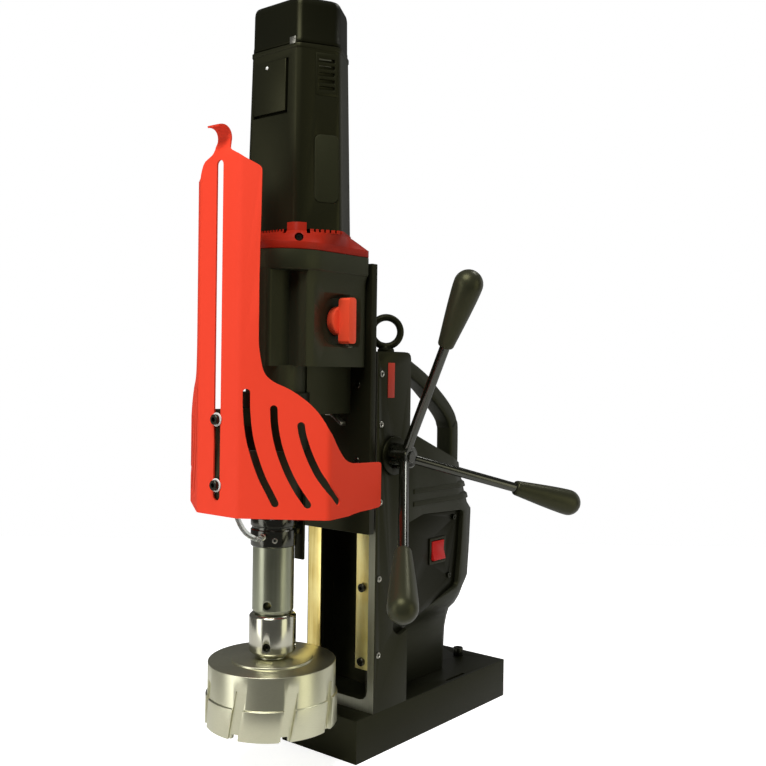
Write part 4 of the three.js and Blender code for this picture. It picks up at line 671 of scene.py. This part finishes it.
sleeve = Sizes(
    radius=27.2, foot=138.6, top=188, chamfer=6.5, topChamfer=2.6, socket=16.2, roof=172.3, hole=4.7,
    screwHeight=153.5, screwSeat=18, screwTurns=(30.5, 118))
cutter = Sizes(
    radius=73.8, rim=76, foot=63.1, rimTop=97, top=133.9, wall=6, roof=13, boss=47.3, bossHeight=2.6, shank=15.9,
    shankTop=172, flutes=8, fluteStart=18.5, fluteWidth=12.5, fluteRoot=71.4, fluteTop=116, lean=10, gullet=(8, 5))


def makeSpindle():
    r, foot, shoulder, stem, top, hole = spin.pick("radius foot shoulder stem top holeHeight")
    reach = spin.hole + 1.5
    profile = [
        (0, foot), (r - 2.4, foot), (r - 2.4, foot + 3), (r - 0.5, foot + 3), (r, foot + 3.6), (r, hole - reach),
        (r, hole + reach), (r, hole + 4 * reach), (r, shoulder - 0.5), (r - 0.5, shoulder), (stem, shoulder),
        (stem, top), (0, top)]
    piece = cut(lathe("spindleBar", profile, axisFoot), crossDrill(spin.hole, -40, 40, hole, spin.holeTurn))
    settle(soften(piece, 0.3, 2, 60, dissolve=False), "spindleSteel", "spindle", "spindle")


def makeSleeve():
    r, foot, top, c, t = sleeve.pick("radius foot top chamfer topChamfer")
    socket, roof, height, turns = sleeve.pick("socket roof screwHeight screwTurns")
    profile = [
        (socket, foot), (r - c - 1, foot), (r - c, foot + 0.6), (r - 1.2, foot + c - 1.2), (r - 0.3, foot + c - 0.1),
        (r, foot + c + 1.2), (r, top - t - 0.8), (r - 0.4, top - t + 0.1), (r - t, top - 0.3), (r - t - 0.6, top),
        (0, top), (0, roof), (socket, roof)]
    piece = lathe("arborSleeve", profile, axisFoot, closed=True, count=112)
    cut(piece, *[crossDrill(sleeve.hole, -40, -socket + 1, height, turn) for turn in turns])
    settle(soften(piece, 0.35, 2, 40), "polishedSteel", "spindle", "arbor_sleeve")
    for k, turn in enumerate(turns):
        turnedPiece(f"sleeveScrew{k + 1}", [(0, 0), (4.3, 0), (4.3, 4.6), (3.8, 5), (2.2, 5), (2, 2.5), (0, 2.5)],
                    *axisSeat(turn, sleeve.screwSeat, height), 36, "darkSteel", "spindle")


def makeCutter():
    r, rim, foot, rimTop, top, boss, shank = cutter.pick("radius rim foot rimTop top boss shank")
    shankTop, fluteTop, lean = cutter.pick("shankTop fluteTop lean")
    inner, bossTop, roof = r - cutter.wall, top + cutter.bossHeight, top - cutter.roof
    profile = [
        (inner, foot), (rim - 0.4, foot), (rim, foot + 0.5), (rim, rimTop - 0.4), (rim - 0.5, rimTop),
        (r, rimTop + 0.4), (r, top - 1), (r - 0.3, top - 0.3), (r - 1, top), (boss, top), (boss, bossTop - 1),
        (boss - 0.3, bossTop - 0.3), (boss - 1, bossTop), (shank, bossTop), (shank, shankTop), (0, shankTop),
        (0, roof), (inner, roof)]
    piece = lathe("annularCutter", profile, axisFoot, closed=True, count=144)
    width, half = cutter.fluteWidth / 2, cutter.gullet[0] / 2
    back = degrees((fluteTop - foot) * tan(radians(lean)) / rim)
    tools = []
    for k in range(cutter.flutes):
        turn = cutter.fluteStart + 360 * k / cutter.flutes
        flute = block((-width, width), (-rim - 6, -cutter.fluteRoot), (-(fluteTop - foot + 8), 0))
        gullet = block((-half, half), (-rim - 6, -inner + 6), (foot - 6, foot + cutter.gullet[1]))
        tools += [turned(flute, axisFoot, radians(turn), lift=fluteTop, lean=radians(lean)),
                  turned(gullet, axisFoot, radians(turn - back))]
    settle(soften(cut(piece, *tools), 0.3, 2, 38), "cutterSteel", "spindle", "annular_cutter")


# coolant collar

collar = Sizes(radius=26.6, bore=24.3, foot=266, top=300, lug=(5, 274, 286, -39.3), screwTurn=48, screwHeight=275)


def makeCollar():
    r, b, low, high = collar.pick("radius bore foot top")
    profile = [
        (b, low), (r - 1.2, low), (r, low + 1.2), (r, low + 19), (r - 1.4, low + 20), (r - 1.4, low + 23),
        (r, low + 24), (r, high - 1.4), (r - 1.2, high), (b, high)]
    piece = lathe("coolantCollar", profile, axisFoot, closed=True)
    half, lugLow, lugHigh, lugRear = collar.lug
    join(piece, block((-half, half), (spin.y + r - 1, lugRear), (lugLow, lugHigh)))
    settle(soften(piece, 0.3, 2, 40), "glossBlack", "carriage", "coolant_collar")
    turnedPiece("collarScrew", [(0, 0), (3, 0), (3, 1.8), (2.6, 2.1), (1.5, 2.1), (1.4, 1), (0, 1)],
                *axisSeat(collar.screwTurn, r - 1.5, collar.screwHeight), 36, "screwSteel", "carriage")


# an outline sampled along rays from its centre, so that two outlines can be blended

def radial(outline, centre, count):
    points = []
    for angle in circle(count):
        ray = Vector((cos(angle), sin(angle)))
        best = 0
        for point, after in zip(outline, outline[1:] + outline[:1]):
            start, edge = Vector(point) - Vector(centre), Vector(after) - Vector(point)
            spread = ray.x * edge.y - ray.y * edge.x
            if abs(spread) < 1e-9:
                continue
            along = (start.x * ray.y - start.y * ray.x) / spread
            reach = (start.x * edge.y - start.y * edge.x) / spread
            if -1e-6 <= along <= 1 + 1e-6:
                best = max(best, reach)
        points.append((centre[0] + ray.x * best, centre[1] + ray.y * best))
    return points


def between(first, second, share):
    return [(a[0] + (b[0] - a[0]) * share, a[1] + (b[1] - a[1]) * share) for a, b in zip(first, second)]


# gear housing: body with its side pockets, nose, top band, rear block, neck and quill

gearbox = Sizes(
    half=55.5, front=-121, rear=17.2, foot=473, top=582, frontRadius=55, rearRadius=8, nose=(26, -120, 6), pocket=-86,
    band=(60, -122, 55, 603), block=(30, -60, 417), neck=(34.5, 400), quill=(30, 306), bore=24.6, floor=27, sink=12,
    recess=[(-51, -22, 4), (-34, -31, 6), (30, -31, 8), (30, 31, 8), (-34, 31, 6), (-51, 22, 4)])


def makeGearHousing():
    half, front, rear, foot, top = gearbox.pick("half front rear foot top")
    pocket, radius, rearRadius, sink = gearbox.pick("pocket frontRadius rearRadius sink")
    body = loft("gearHousing", [
        (z, planBox(half + grow, front, rear, radius, rearRadius, 24)) for z, grow in
        ((foot, 0), (top - 11, 0), (top - 6, 0.8), (top - 2, 2.2), (top + 1, 3))])
    cut(body, block((-70, 70), (-130, pocket), (foot - 5, top + 5)))
    noseHalf, noseFront, noseRadius = gearbox.nose
    nose = prism(planBox(noseHalf, noseFront, pocket + 6, noseRadius, 0.5, 8), "z", foot, top + 1)
    bandHalf, bandFront, bandRadius, bandTop = gearbox.band
    band = loft("band", [
        (z, planBox(bandHalf + grow, bandFront - grow, rear, bandRadius + grow, rearRadius, 24)) for z, grow in
        ((top - 1.5, -2.5), (top - 0.5, -0.8), (top + 1, 0), (bandTop, 0))])
    blockHalf, blockFront, blockFoot = gearbox.block
    (neckRadius, neckFoot), (quillRadius, quillFoot) = gearbox.pick("neck quill")
    join(body, nose, band, block((-blockHalf, blockHalf), (blockFront, rear), (blockFoot, foot + 1)),
         rod("z", neckRadius, neckFoot, foot + 1, axisPlan, 96),
         rod("z", quillRadius, quillFoot, neckFoot + 1, axisPlan, 96))
    mouth = radial(rounded(gearbox.recess), (0, 0), 96)
    floor = [(a * gearbox.floor / hypot(a, b), b * gearbox.floor / hypot(a, b)) for a, b in mouth]
    recess = ringsToObject("recess", [
        [place(x, knob.y + a, knob.z + b) for a, b in outline] for x, outline in
        ((half - sink, floor), (half + 9, between(floor, mouth, 1 + 9 / sink)))])
    cut(body, rod("z", gearbox.bore, quillFoot - 5, foot + 2, axisPlan, 96), recess,
        rod("x", 6.3, 15, half, (knob.y, knob.z)))
    settle(soften(body, 1.1, 3, 34), "castPaint", "carriage", "gear_housing")


# the guard's clamp, round the neck and the quill behind the slits

clamp = Sizes(outer=39.5, inner=34.7, quill=30.2, low=377, step=400, high=443)


def makeClamp():
    outer, inner, quill, low, step, high = clamp.pick("outer inner quill low step high")
    profile = [
        (quill, low), (outer - 0.8, low), (outer, low + 0.8), (outer, high - 0.8), (outer - 0.8, high), (inner, high),
        (inner, step), (quill, step)]
    ring = lathe("guardClamp", profile, axisFoot, closed=True)
    cut(ring, block((-60, 60), (-41, 0), (low - 5, high + 5)))
    settle(soften(ring, 0), "blackPaint", "carriage")


# red gearbox cover, with a toothed upper edge

motor = Sizes(
    y=-46, facetHalf=41, reach=46.8, side=67.5, corner=9, sideCorner=12, foot=627, taperFoot=631, shoulder=836,
    dome=890, taper=0.915, cap=0.897)
cover = Sizes(lip=8.5, top=627.5, tab=634.5, tabTurn=-48.5, tabHalf=11, teeth=64, screw=617)
motorMiddle = place(0, motor.y, 0)


def motorPlan(share, grow=0.0, steps=6):
    facet, reach, side = motor.facetHalf * share, motor.reach * share + grow, motor.side * share + grow * 1.2
    corner, sideCorner = motor.pick("corner sideCorner")
    points = rounded([
        (-facet, -reach, corner), (facet, -reach, corner), (side, 0, sideCorner), (facet, reach, corner),
        (-facet, reach, corner), (-side, 0, sideCorner)], steps)
    return [(x, y + motor.y) for x, y in points]


def makeCover():
    centre, rear, rearRadius = (0, motor.y), gearbox.rear, gearbox.rearRadius
    half, front, radius, bandTop = gearbox.band
    top, tab, tabTurn, tabHalf = cover.pick("top tab tabTurn tabHalf")
    lip, outer, neck, inner = (radial(outline, centre, 192) for outline in (
        planBox(half - 1.6, front + 1.6, rear - 0.6, radius - 1.6, rearRadius, 24),
        planBox(half, front, rear, radius, rearRadius, 24), motorPlan(1, 1.6, 10), motorPlan(1, 0.3, 10)))
    edge = bandTop + cover.lip
    piece = loft("gearboxCover", [
        (bandTop + 0.2, lip), (bandTop + 0.9, outer), (edge - 0.4, outer), (edge, outer),
        (edge + 0.5, between(outer, neck, 0.06)), (bandTop + 16, between(outer, neck, 0.52)),
        (bandTop + 22, between(outer, neck, 0.93)), (top - 4, neck), (tab, neck), (tab, inner), (bandTop + 20, inner)])
    tools = [prism([centre, *arc(centre, 120, tabTurn + tabHalf, tabTurn + 360 - tabHalf, 40)], "z", top, tab + 5)]
    gaps = [(2.1, top - 5.5, tab + 5, tabTurn + side * (tabHalf + 2)) for side in (-1, 1)]
    for angle in (360 * k / cover.teeth for k in range(cover.teeth)):
        if abs((angle - tabTurn + 180) % 360 - 180) > tabHalf + 5:
            gaps.append((1.2, top - 3.4, top + 3, angle))
    for wide, low, high, angle in gaps:
        tools.append(turned(block((45, 90), (-wide, wide), (low, high)), motorMiddle, radians(angle)))
    turn = radians(tabTurn + 3)
    tools.append(turned(rod("x", 5, 60, 80, (0, cover.screw)), motorMiddle, turn))
    settle(soften(cut(piece, *tools), 0.3, 2, 40), "coverRed", "carriage", "gearbox_cover")
    out = Vector((cos(turn), sin(turn), 0))
    turnedPiece("coverScrew", [(0, 0), (4, 0), (4, 2.5), (3.5, 3), (1.8, 3), (1.7, 1.5), (0, 1.5)],
                place(0, motor.y, cover.screw) + out * 60 * mm, out, 40, "darkSteel", "carriage")


# motor housing and cap, with what is let into the front and the right facet

vent = Sizes(width=27, shift=8.5, foot=779, height=49, depth=3, slats=5, slot=4.2, blades=(805.5, 812.5, 819.5))
pad = Sizes(width=29, shift=8.5, foot=658, height=77, depth=2, proud=1.2)
brush = Sizes(left=-33, right=22.5, foot=759, top=822, pocket=6, gap=3.8, screw=(-10.6, 815))


def shareAt(z):
    return 1 + (motor.taper - 1) * (z - motor.taperFoot) / (motor.shoulder - motor.taperFoot)


facetTurn = atan2(motor.reach, motor.side - motor.facetHalf)
facetReach = motor.reach * motor.side / hypot(motor.reach, motor.side - motor.facetHalf)
facetMiddle = ((motor.facetHalf + motor.side) * cos(facetTurn) - motor.reach * sin(facetTurn)) / 2
brushFront = motor.y - motor.reach * shareAt((brush.foot + brush.top) / 2)


def facetPlate(width, corner, foot, height, inward, outward, steps, shift, name="tool"):
    distance = facetReach * shareAt(foot + height / 2)
    outline = planBox(width / 2, foot, foot + height, corner, corner, steps, facetMiddle + shift)
    return turned(prism(outline, "y", -distance - outward, -distance + inward, name), motorMiddle, facetTurn)


def motorLoft(name, rows):
    return loft(name, [(z, motorPlan(share, grow)) for z, share, grow in rows])


def makeMotor():
    low, top, s = motor.pick("shoulder dome cap")
    body = motorLoft("motorHousing", [
        (motor.foot + 0.3, 1, 0), (low - 5, shareAt(low - 5), 0), (low - 4, shareAt(low), 1.3),
        (low, shareAt(low), 1.3)])
    cut(body, block((brush.left, brush.right), (brushFront - 8, brushFront + brush.pocket), (brush.foot, brush.top)),
        facetPlate(vent.width, 2, vent.foot, vent.height, vent.depth, 6, 3, vent.shift),
        facetPlate(pad.width, 7, pad.foot, pad.height, pad.depth, 6, 6, pad.shift))
    settle(soften(body, 0.9, 3, 30), "motorPlastic", "carriage", "motor_housing")
    cap = motorLoft("motorCap", [
        (low + 0.3, s, -0.8), (low + 1.2, s, -0.8), (low + 1.8, s, 0.7), (low + 6, s, 0.5), (low + 7, s, 0),
        (top - 10, s * 0.99, 0), (top - 6, s * 0.982, -0.1), (top - 3.6, s * 0.972, -0.5),
        (top - 1.8, s * 0.957, -1.2), (top - 0.6, s * 0.935, -2.2), (top, s * 0.9, -3.6)])
    cut(cap, block((33, 39), (motor.y - 50, motor.y - 8), (top - 2, top + 2)))
    # the cap takes the darker copy of the black plastic: painted shade
    settle(soften(cap, 0.5, 2, 30), "plasticPaintedShade", "carriage", "motor_cap")
    front = motor.y - motor.reach * s
    clip = block((24, 33), (front - 1.6, front + 2), (low - 2, low + 8), "capClip")
    settle(soften(clip, 0.6, 3), "screwSteel", "carriage")


def makePanels():
    lid = block((brush.left + 0.3, brush.right - brush.gap), (brushFront - 0.3, brushFront + brush.pocket),
                (brush.foot + brush.gap, brush.top - 0.3), "brushCover")
    settle(soften(lid, 0.8, 3), "motorPlastic", "carriage", "brush_cover")
    x, z = brush.screw
    turnedPiece("brushScrew", [(0, 0), (1.9, 0), (1.9, 1), (1.2, 1.5), (0, 1.6)], place(x, brushFront, z), (0, -1, 0),
                32, "washerWhite", "carriage")
    width, shift, foot, height, slot = vent.pick("width shift foot height slot")
    grille = facetPlate(width - 0.6, 1, foot + 0.3, height - 0.6, vent.depth, 0, 3, shift, "ventGrille")
    step = (height - 10) / vent.slats
    cut(grille, *[facetPlate(width - 8, 1.4, foot + 5 + step * k + (step - slot) / 2, slot, 2.6, 6, 4, shift)
                  for k in range(vent.slats)])
    settle(soften(grille, 0.4), "motorPlastic", "carriage", "vent_grille")
    # three steel strips set into the upper part of the top vent slots: a painted highlight where the slats catch the
    # light
    for k, z in enumerate(vent.blades):
        highlightBlade = facetPlate(width - 12, 0.8, z, 2.6, 2.4, -1, 3, shift - 2, f"ventHighlightBlade{k + 1}")
        settle(highlightBlade, "steelPaintedHighlight", "carriage")
    plate = facetPlate(pad.width - 0.6, 7, pad.foot + 0.3, pad.height - 0.6, pad.depth, pad.proud, 8, pad.shift,
                       "sidePad")
    settle(soften(plate, 0.9, 3), "padRubber", "carriage", "side_pad")


# selector knob

knob = Sizes(y=-26, z=526.5, face=43.5, disc=17, thick=10, bar=(12.7, 53, 4), proud=25.5)


def makeSelector():
    y, z, face, r, thick = knob.pick("y z face disc thick")
    profile = [(0, 0.3), (r - 0.6, 0.3), (r, 0.9), (r, thick - 1.2), (r - 1.4, thick), (0, thick)]
    disc = lathe("selectorKnob", profile, place(face, y, z), (1, 0, 0), 88)
    width, length, corner = knob.bar
    bar = prism(planBox(width / 2, z - length / 2, z + length / 2, corner, corner, 6, y), "x", face + thick - 1,
                face + knob.proud)
    join(disc, bar, rod("x", 6, 13.5, face + 1, (y, z)))
    settle(soften(disc, 1.3, 3, 34), "switchRed", "selector", "selector_knob")


# feed hub, rods and knobs

feed = Sizes(
    y=62.6, z=364.8, hubStart=65.9, hubLength=24, hub=16, core=13.5, ribs=9, cap=7, capLength=2, rod=6, plane=78.7,
    lean=30, start=14, end=170, angles=(-12, 108, 228), knobStart=158, knobLength=80, knobBase=9.5, knobRadius=16.6)


def makeFeed():
    y, z, start, outer, core, cap = feed.pick("y z hubStart hub core cap")
    r, rodStart, rodEnd, low, base, big = feed.pick("rod start end knobStart knobBase knobRadius")
    end = start + feed.hubLength
    tip = end + feed.capLength
    middle = place(0, y, z)
    hub = lathe("feedHub", [
        (0, start + 0.2), (core, start + 0.2), (core, end - 1), (core - 1.5, end), (cap, end), (cap, tip - 1),
        (cap - 1, tip), (0, tip)], middle, (1, 0, 0), 72)
    rib = [(start + 0.2, 3), (end - 1, 3), (end - 1, core - 2.6), (start + 4, outer), (start + 0.2, outer)]
    join(hub, *[turned(prism(rib, "y", -2.5, 2.5), middle, angle, "X") for angle in circle(feed.ribs)])
    settle(soften(hub, 0.9, 3, 30), "glossBlack", "feed", "feed_hub")
    high = low + feed.knobLength
    flank = [(base + (big - base) * s, low + 2 + (high - low - 2) * t) for t, s in
             ((0, 0), (0.2, 0.24), (0.4, 0.48), (0.6, 0.7), (0.8, 0.89), (0.92, 0.98))]
    grip = [
        (0, low + 4), (r + 0.3, low + 4), (r + 0.3, low), (base - 2, low), (base - 0.6, low + 0.6),
        *smoothLine(flank, 4), *arc((0, high), big, 0, 90, 14)[:-1], (0, high + big)]
    bar = [(0, rodStart), (r, rodStart), (r, rodEnd), (0, rodEnd)]
    lean, centre = radians(feed.lean), place(feed.plane, y, z)
    for i, angle in enumerate(feed.angles):
        turn = radians(angle)
        along = Vector((sin(lean), cos(lean) * sin(turn), cos(lean) * cos(turn)))
        turnedPiece(f"feedRod{i + 1}", bar, centre, along, 56, "glossBlack", "feed", f"feed_rod_{i + 1}")
        turnedPiece(f"feedKnob{i + 1}", grip, centre, along, 72, "knobPlastic", "feed", f"feed_knob_{i + 1}", angle=50)


# eye bolt

eye = Sizes(y=122, height=520.3, radius=19, wire=4.6, seat=494, turn=45)


def makeEye():
    turn = radians(eye.turn)
    along = Vector((cos(turn), sin(turn), 0))
    across = Vector((-along.y, along.x, 0))
    centre = place(0, eye.y, eye.height)
    rings = []
    for angle in circle(72):
        out = along * cos(angle) + Vector((0, 0, 1)) * sin(angle)
        rings.append([
            centre + out * (eye.radius + eye.wire * cos(bend)) * mm + across * eye.wire * sin(bend) * mm
            for bend in circle(20)])
    profile = [(0, -24), (5, -24), (5, 0.3), (11, 0.3), (11, 3), (9.5, 4.5), (7, 5.5), (6, 8), (0, 8)]
    ring = join(ringsToObject("eyeBolt", rings, closed=True),
                lathe("stem", profile, place(0, eye.y, eye.seat), count=56))
    settle(soften(ring, 0.25, 2, 44, dissolve=False), "blackPaint", "stand", "eye_bolt")


# carrying handle

handle = Sizes(
    line=[(110, 476), (150, 475.5), (165, 470.5), (194, 456), (214, 442), (239.7, 423.2), (256, 408), (263, 396),
          (266, 380), (266, 276)],
    half=13, thick=10.5, corner=4.5, rootHalf=22, root=(97, 140, 440, 494))


def makeHandle():
    half, thick, corner, rootHalf = handle.pick("half thick corner rootHalf")
    section = planBox(half, -thick, thick, corner, corner, 5)
    line = smoothLine(handle.line)
    rings = []
    for i, (y, z) in enumerate(line):
        side = sideAt(line, i)
        rings.append([place(x, y + side.x * n, z + side.y * n) for x, n in section])
    bar = ringsToObject("carryHandle", rings)
    y0, y1, z0, z1 = handle.root
    outline = rounded([(y0, z0, 0), (y1, z0 + 10, 5), (y1, z1, 5), (y0, z1, 0)], 5)
    join(bar, prism(outline, "x", -rootHalf, rootHalf))
    cut(bar, rod("z", 5.3, z1 - 24.3, z1 + 5, (0, eye.y)))
    settle(soften(bar, 1.2, 3, 34), "housingPlastic", "stand", "carry_handle")


# two ledges round the control housing, above its panel

ledges = Sizes(half=61.4, front=106, frontRadius=1, rearRadius=45, rows=[(296, 306, 258.3), (312, 322, 251.3)])


def makeLedges():
    half, front, near, far = ledges.pick("half front frontRadius rearRadius")
    for k, (low, high, rear) in enumerate(ledges.rows):
        ledge = loft(f"housingLedge{k + 1}", [
            (z, planBox(half + grow, front, rear + grow - (z - low) * 0.4, near, far, 14))
            for z, grow in ((low, -1.5), (low + 1.2, 1.1), (high - 3.5, 1), (high, -1.8))])
        settle(soften(ledge, 0.5, 2, 30), "housingPlastic", "stand")


# screw heads: on the gib and the slide plate, and the guard's two with their washers

headSpots = {
    "gibHead1": (40, 33.5, 203, 5.2, 4), "gibHead2": (40, 33.5, 112, 5.2, 4),
    "slideHead1": (41, 17.5, 452, 4.4, 1.2), "slideHead2": (41, 17.5, 360, 4.4, 1.2)}
guardHeads = Sizes(y=-169.2, heights=(413.9, 342.4), washer=(7.5, 1.2), head=(5.75, 4))


def makeGibScrews():
    for k in range(1, 6):
        low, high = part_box(f"gib_screw_{k}")
        seat = Vector((high.x, (low.y + high.y) / 2, (low.z + high.z) / 2))
        profile = [(0, -12), (2.9, -12), (2.9, -0.5), (3.8, -0.5), (3.8, 0.5), (3.3, 1), (2.3, 1), (2, 0.4), (0, 0.4)]
        turnedPiece(f"gibScrew{k}", profile, seat, (1, 0, 0), 40, "screwSteel", "stand", f"gib_screw_{k}")
        # a flat dark hex disc on the floor of the screw's shallow recess: painted shade standing in for the depth of
        # the hex socket
        socket = lathe(f"gibSocketShade{k}", [(0, 0.4), (1.9, 0.4), (1.9, 0.55), (0, 0.55)], seat, (1, 0, 0), 6)
        settle(socket, "resin", "stand")


def makeHeads():
    forward = (0, -1, 0)
    for name, (x, y, z, r, h) in headSpots.items():
        profile = [(0, -1), (r, -1), (r, h - 0.8), (r - 0.8, h), (r * 0.5, h), (r * 0.46, h * 0.4), (0, h * 0.4)]
        turnedPiece(name, profile, place(x, y, z), forward, 44, "darkSteel",
                    "stand" if name.startswith("gib") else "carriage")
    (wide, thick), (r, height) = guardHeads.pick("washer head")
    top = thick + height
    washer = [(0, 0), (wide, 0), (wide, thick - 0.3), (wide - 0.3, thick), (0, thick)]
    head = [
        (0, -9), (3.2, -9), (3.2, thick), (r, thick), (r, top - 0.6), (r - 0.6, top), (2.7, top), (2.5, thick + 1),
        (0, thick + 1)]
    for i, z in enumerate(guardHeads.heights):
        seat = place(0, guardHeads.y, z)
        turnedPiece(f"guardWasher{i + 1}", washer, seat, forward, 56, "washerWhite", "carriage")
        turnedPiece(f"guardHead{i + 1}", head, seat, forward, 48, "darkSteel", "carriage", f"guard_screw_{i + 1}")


stages = {
    "hose and guard": (makeHose, makeGuard),
    "spindle, sleeve, cutter and collar": (makeSpindle, makeSleeve, makeCutter, makeCollar),
    "gear housing, clamp and cover": (makeGearHousing, makeClamp, makeCover),
    "motor": (makeMotor, makePanels),
    "selector and feed levers": (makeSelector, makeFeed),
    "eye bolt, handle and ledges": (makeEye, makeHandle, makeLedges),
    "screws": (makeGibScrews, makeHeads),
}
for title, makers in stages.items():
    for make in makers:
        make()
    print(title, "made")


# nodes that keep their own mesh

kept = {
    "columnPaint": "column_frame",
    "labelRed": "red_plate",
    "blackPaint": "magnet_base slide_carriage collar_stay guard_bracket",
    # the pinion bush and the control panel take the darker copy of the black plastic: painted shade
    "plasticPaintedShade": "pinion_bush control_panel",
    "motorPlastic": "switch_body",
    "housingPlastic": "control_housing",
    "rockerRed": "rocker_switch",
    "screwSteel": "stay_strap",
    "darkSteel": "base_bolt panel_screw_1 panel_screw_2",
    "spindleSteel":
        "gear_rack pinion_shaft spindle_gear idler_gear motor_rotor bearing_lower bearing_upper motor_stator",
    "brass": "gib_left hose_barb",
    # the right gib takes the lighter brass copy: painted light
    "brassPaintedLight": "gib_right",
    "polishedSteel": "hose_fitting",
    "copper": "magnet_coil",
    "resin": "coil_potting",
    "board": "control_board",
}
for finish, names in kept.items():
    for name in names.split():
        dress(name, finish, 0.25 if "screw" in name or "gear" in name else 0.8)
coat(nodes["coolant_hose"], "hoseClear")
print("kept nodes dressed")


# floor, backdrop and lamps

stage = Sizes(tone=0.9, glow=0.82, world=0.12, middle=(0, -80), turn=38.9, side=1400, front=420, rear=1500)
lamps = {
    "keyBox": Sizes(spot=(0.42, -1.45, 2.35), aim=(0, -0.05, 0.4), size=(1.4, 1.4), power=60),
    "leftBox": Sizes(spot=(-0.72, -2.0, 0.45), aim=(0, -0.05, 0.45), size=(0.85, 1.9), power=13),
    "rightBox": Sizes(spot=(2.05, 0.25, 0.4), aim=(0, -0.05, 0.4), size=(0.95, 1.8), power=7.8, colour=(1, 0.98, 0.74)),
    "topBox": Sizes(spot=(0.42, 1.11, 2.29), aim=(0.08, -0.1, 0.36), size=(0.5, 0.5), power=8),
    "backBox": Sizes(spot=(0.75, 2.1, 0.6), aim=(0, 0, 0.45), size=(2.0, 1.8), power=7),
}


def showCamera(paint, others, shown, output):
    seen = paint.add("ShaderNodeLightPath", {}, {}, "Is Camera Ray")
    mixed = paint.add("ShaderNodeMixShader", {}, {0: seen, 1: others, 2: shown})
    paint.fill(paint.tree.nodes[output], {0: mixed})


def addStage():
    turn = radians(stage.turn)
    middleX, middleY = stage.middle
    corners = []
    for a, b in ((-1, -1), (1, -1), (1, 1), (-1, 1)):
        across, away = a * stage.side, stage.rear if b > 0 else -stage.front
        corners.append(place(middleX + across * cos(turn) - away * sin(turn),
                             middleY + across * sin(turn) + away * cos(turn), 0))
    mesh = bpy.data.meshes.new("floor")
    mesh.from_pydata(corners, [], [(0, 1, 2, 3)])
    floor = newObject("floor", mesh)
    paint = Paint(bpy.data.materials.new("floor"))
    paint.set(colour=(stage.tone,) * 3, rough=0.8)
    surface = Wire(paint, paint.shader.outputs[0])
    glow = paint.add("ShaderNodeEmission", {}, {"Color": white, "Strength": stage.glow})
    showCamera(paint, surface, paint.add("ShaderNodeAddShader", {}, {0: surface, 1: glow}), "Material Output")
    mesh.materials.append(paint.owner)
    world = bpy.data.worlds.new("studio")
    bpy.context.scene.world = world
    sky = Paint(world)
    shown = sky.tree.nodes["Background"]
    sky.fill(shown, {"Color": white, "Strength": 1})
    light = sky.add("ShaderNodeBackground", {}, {"Color": (1, 1, 0.98), "Strength": stage.world})
    showCamera(sky, light, Wire(sky, shown.outputs[0]), "World Output")


def addLamps():
    for name, lamp in lamps.items():
        data = bpy.data.lights.new(name, "AREA")
        data.shape = "RECTANGLE"
        data.size, data.size_y = lamp.size
        data.energy = lamp.power
        data.color = lamp.get("colour", (1, 1, 1))
        spot = Vector(lamp.spot)
        look = (Vector(lamp.aim) - spot).to_track_quat("-Z", "Y")
        newObject(name, data).matrix_world = Matrix.Translation(spot) @ look.to_matrix().to_4x4()


addStage()
addLamps()
bpy.context.scene.view_settings.view_transform = "Standard"
print("stage and lamps set")
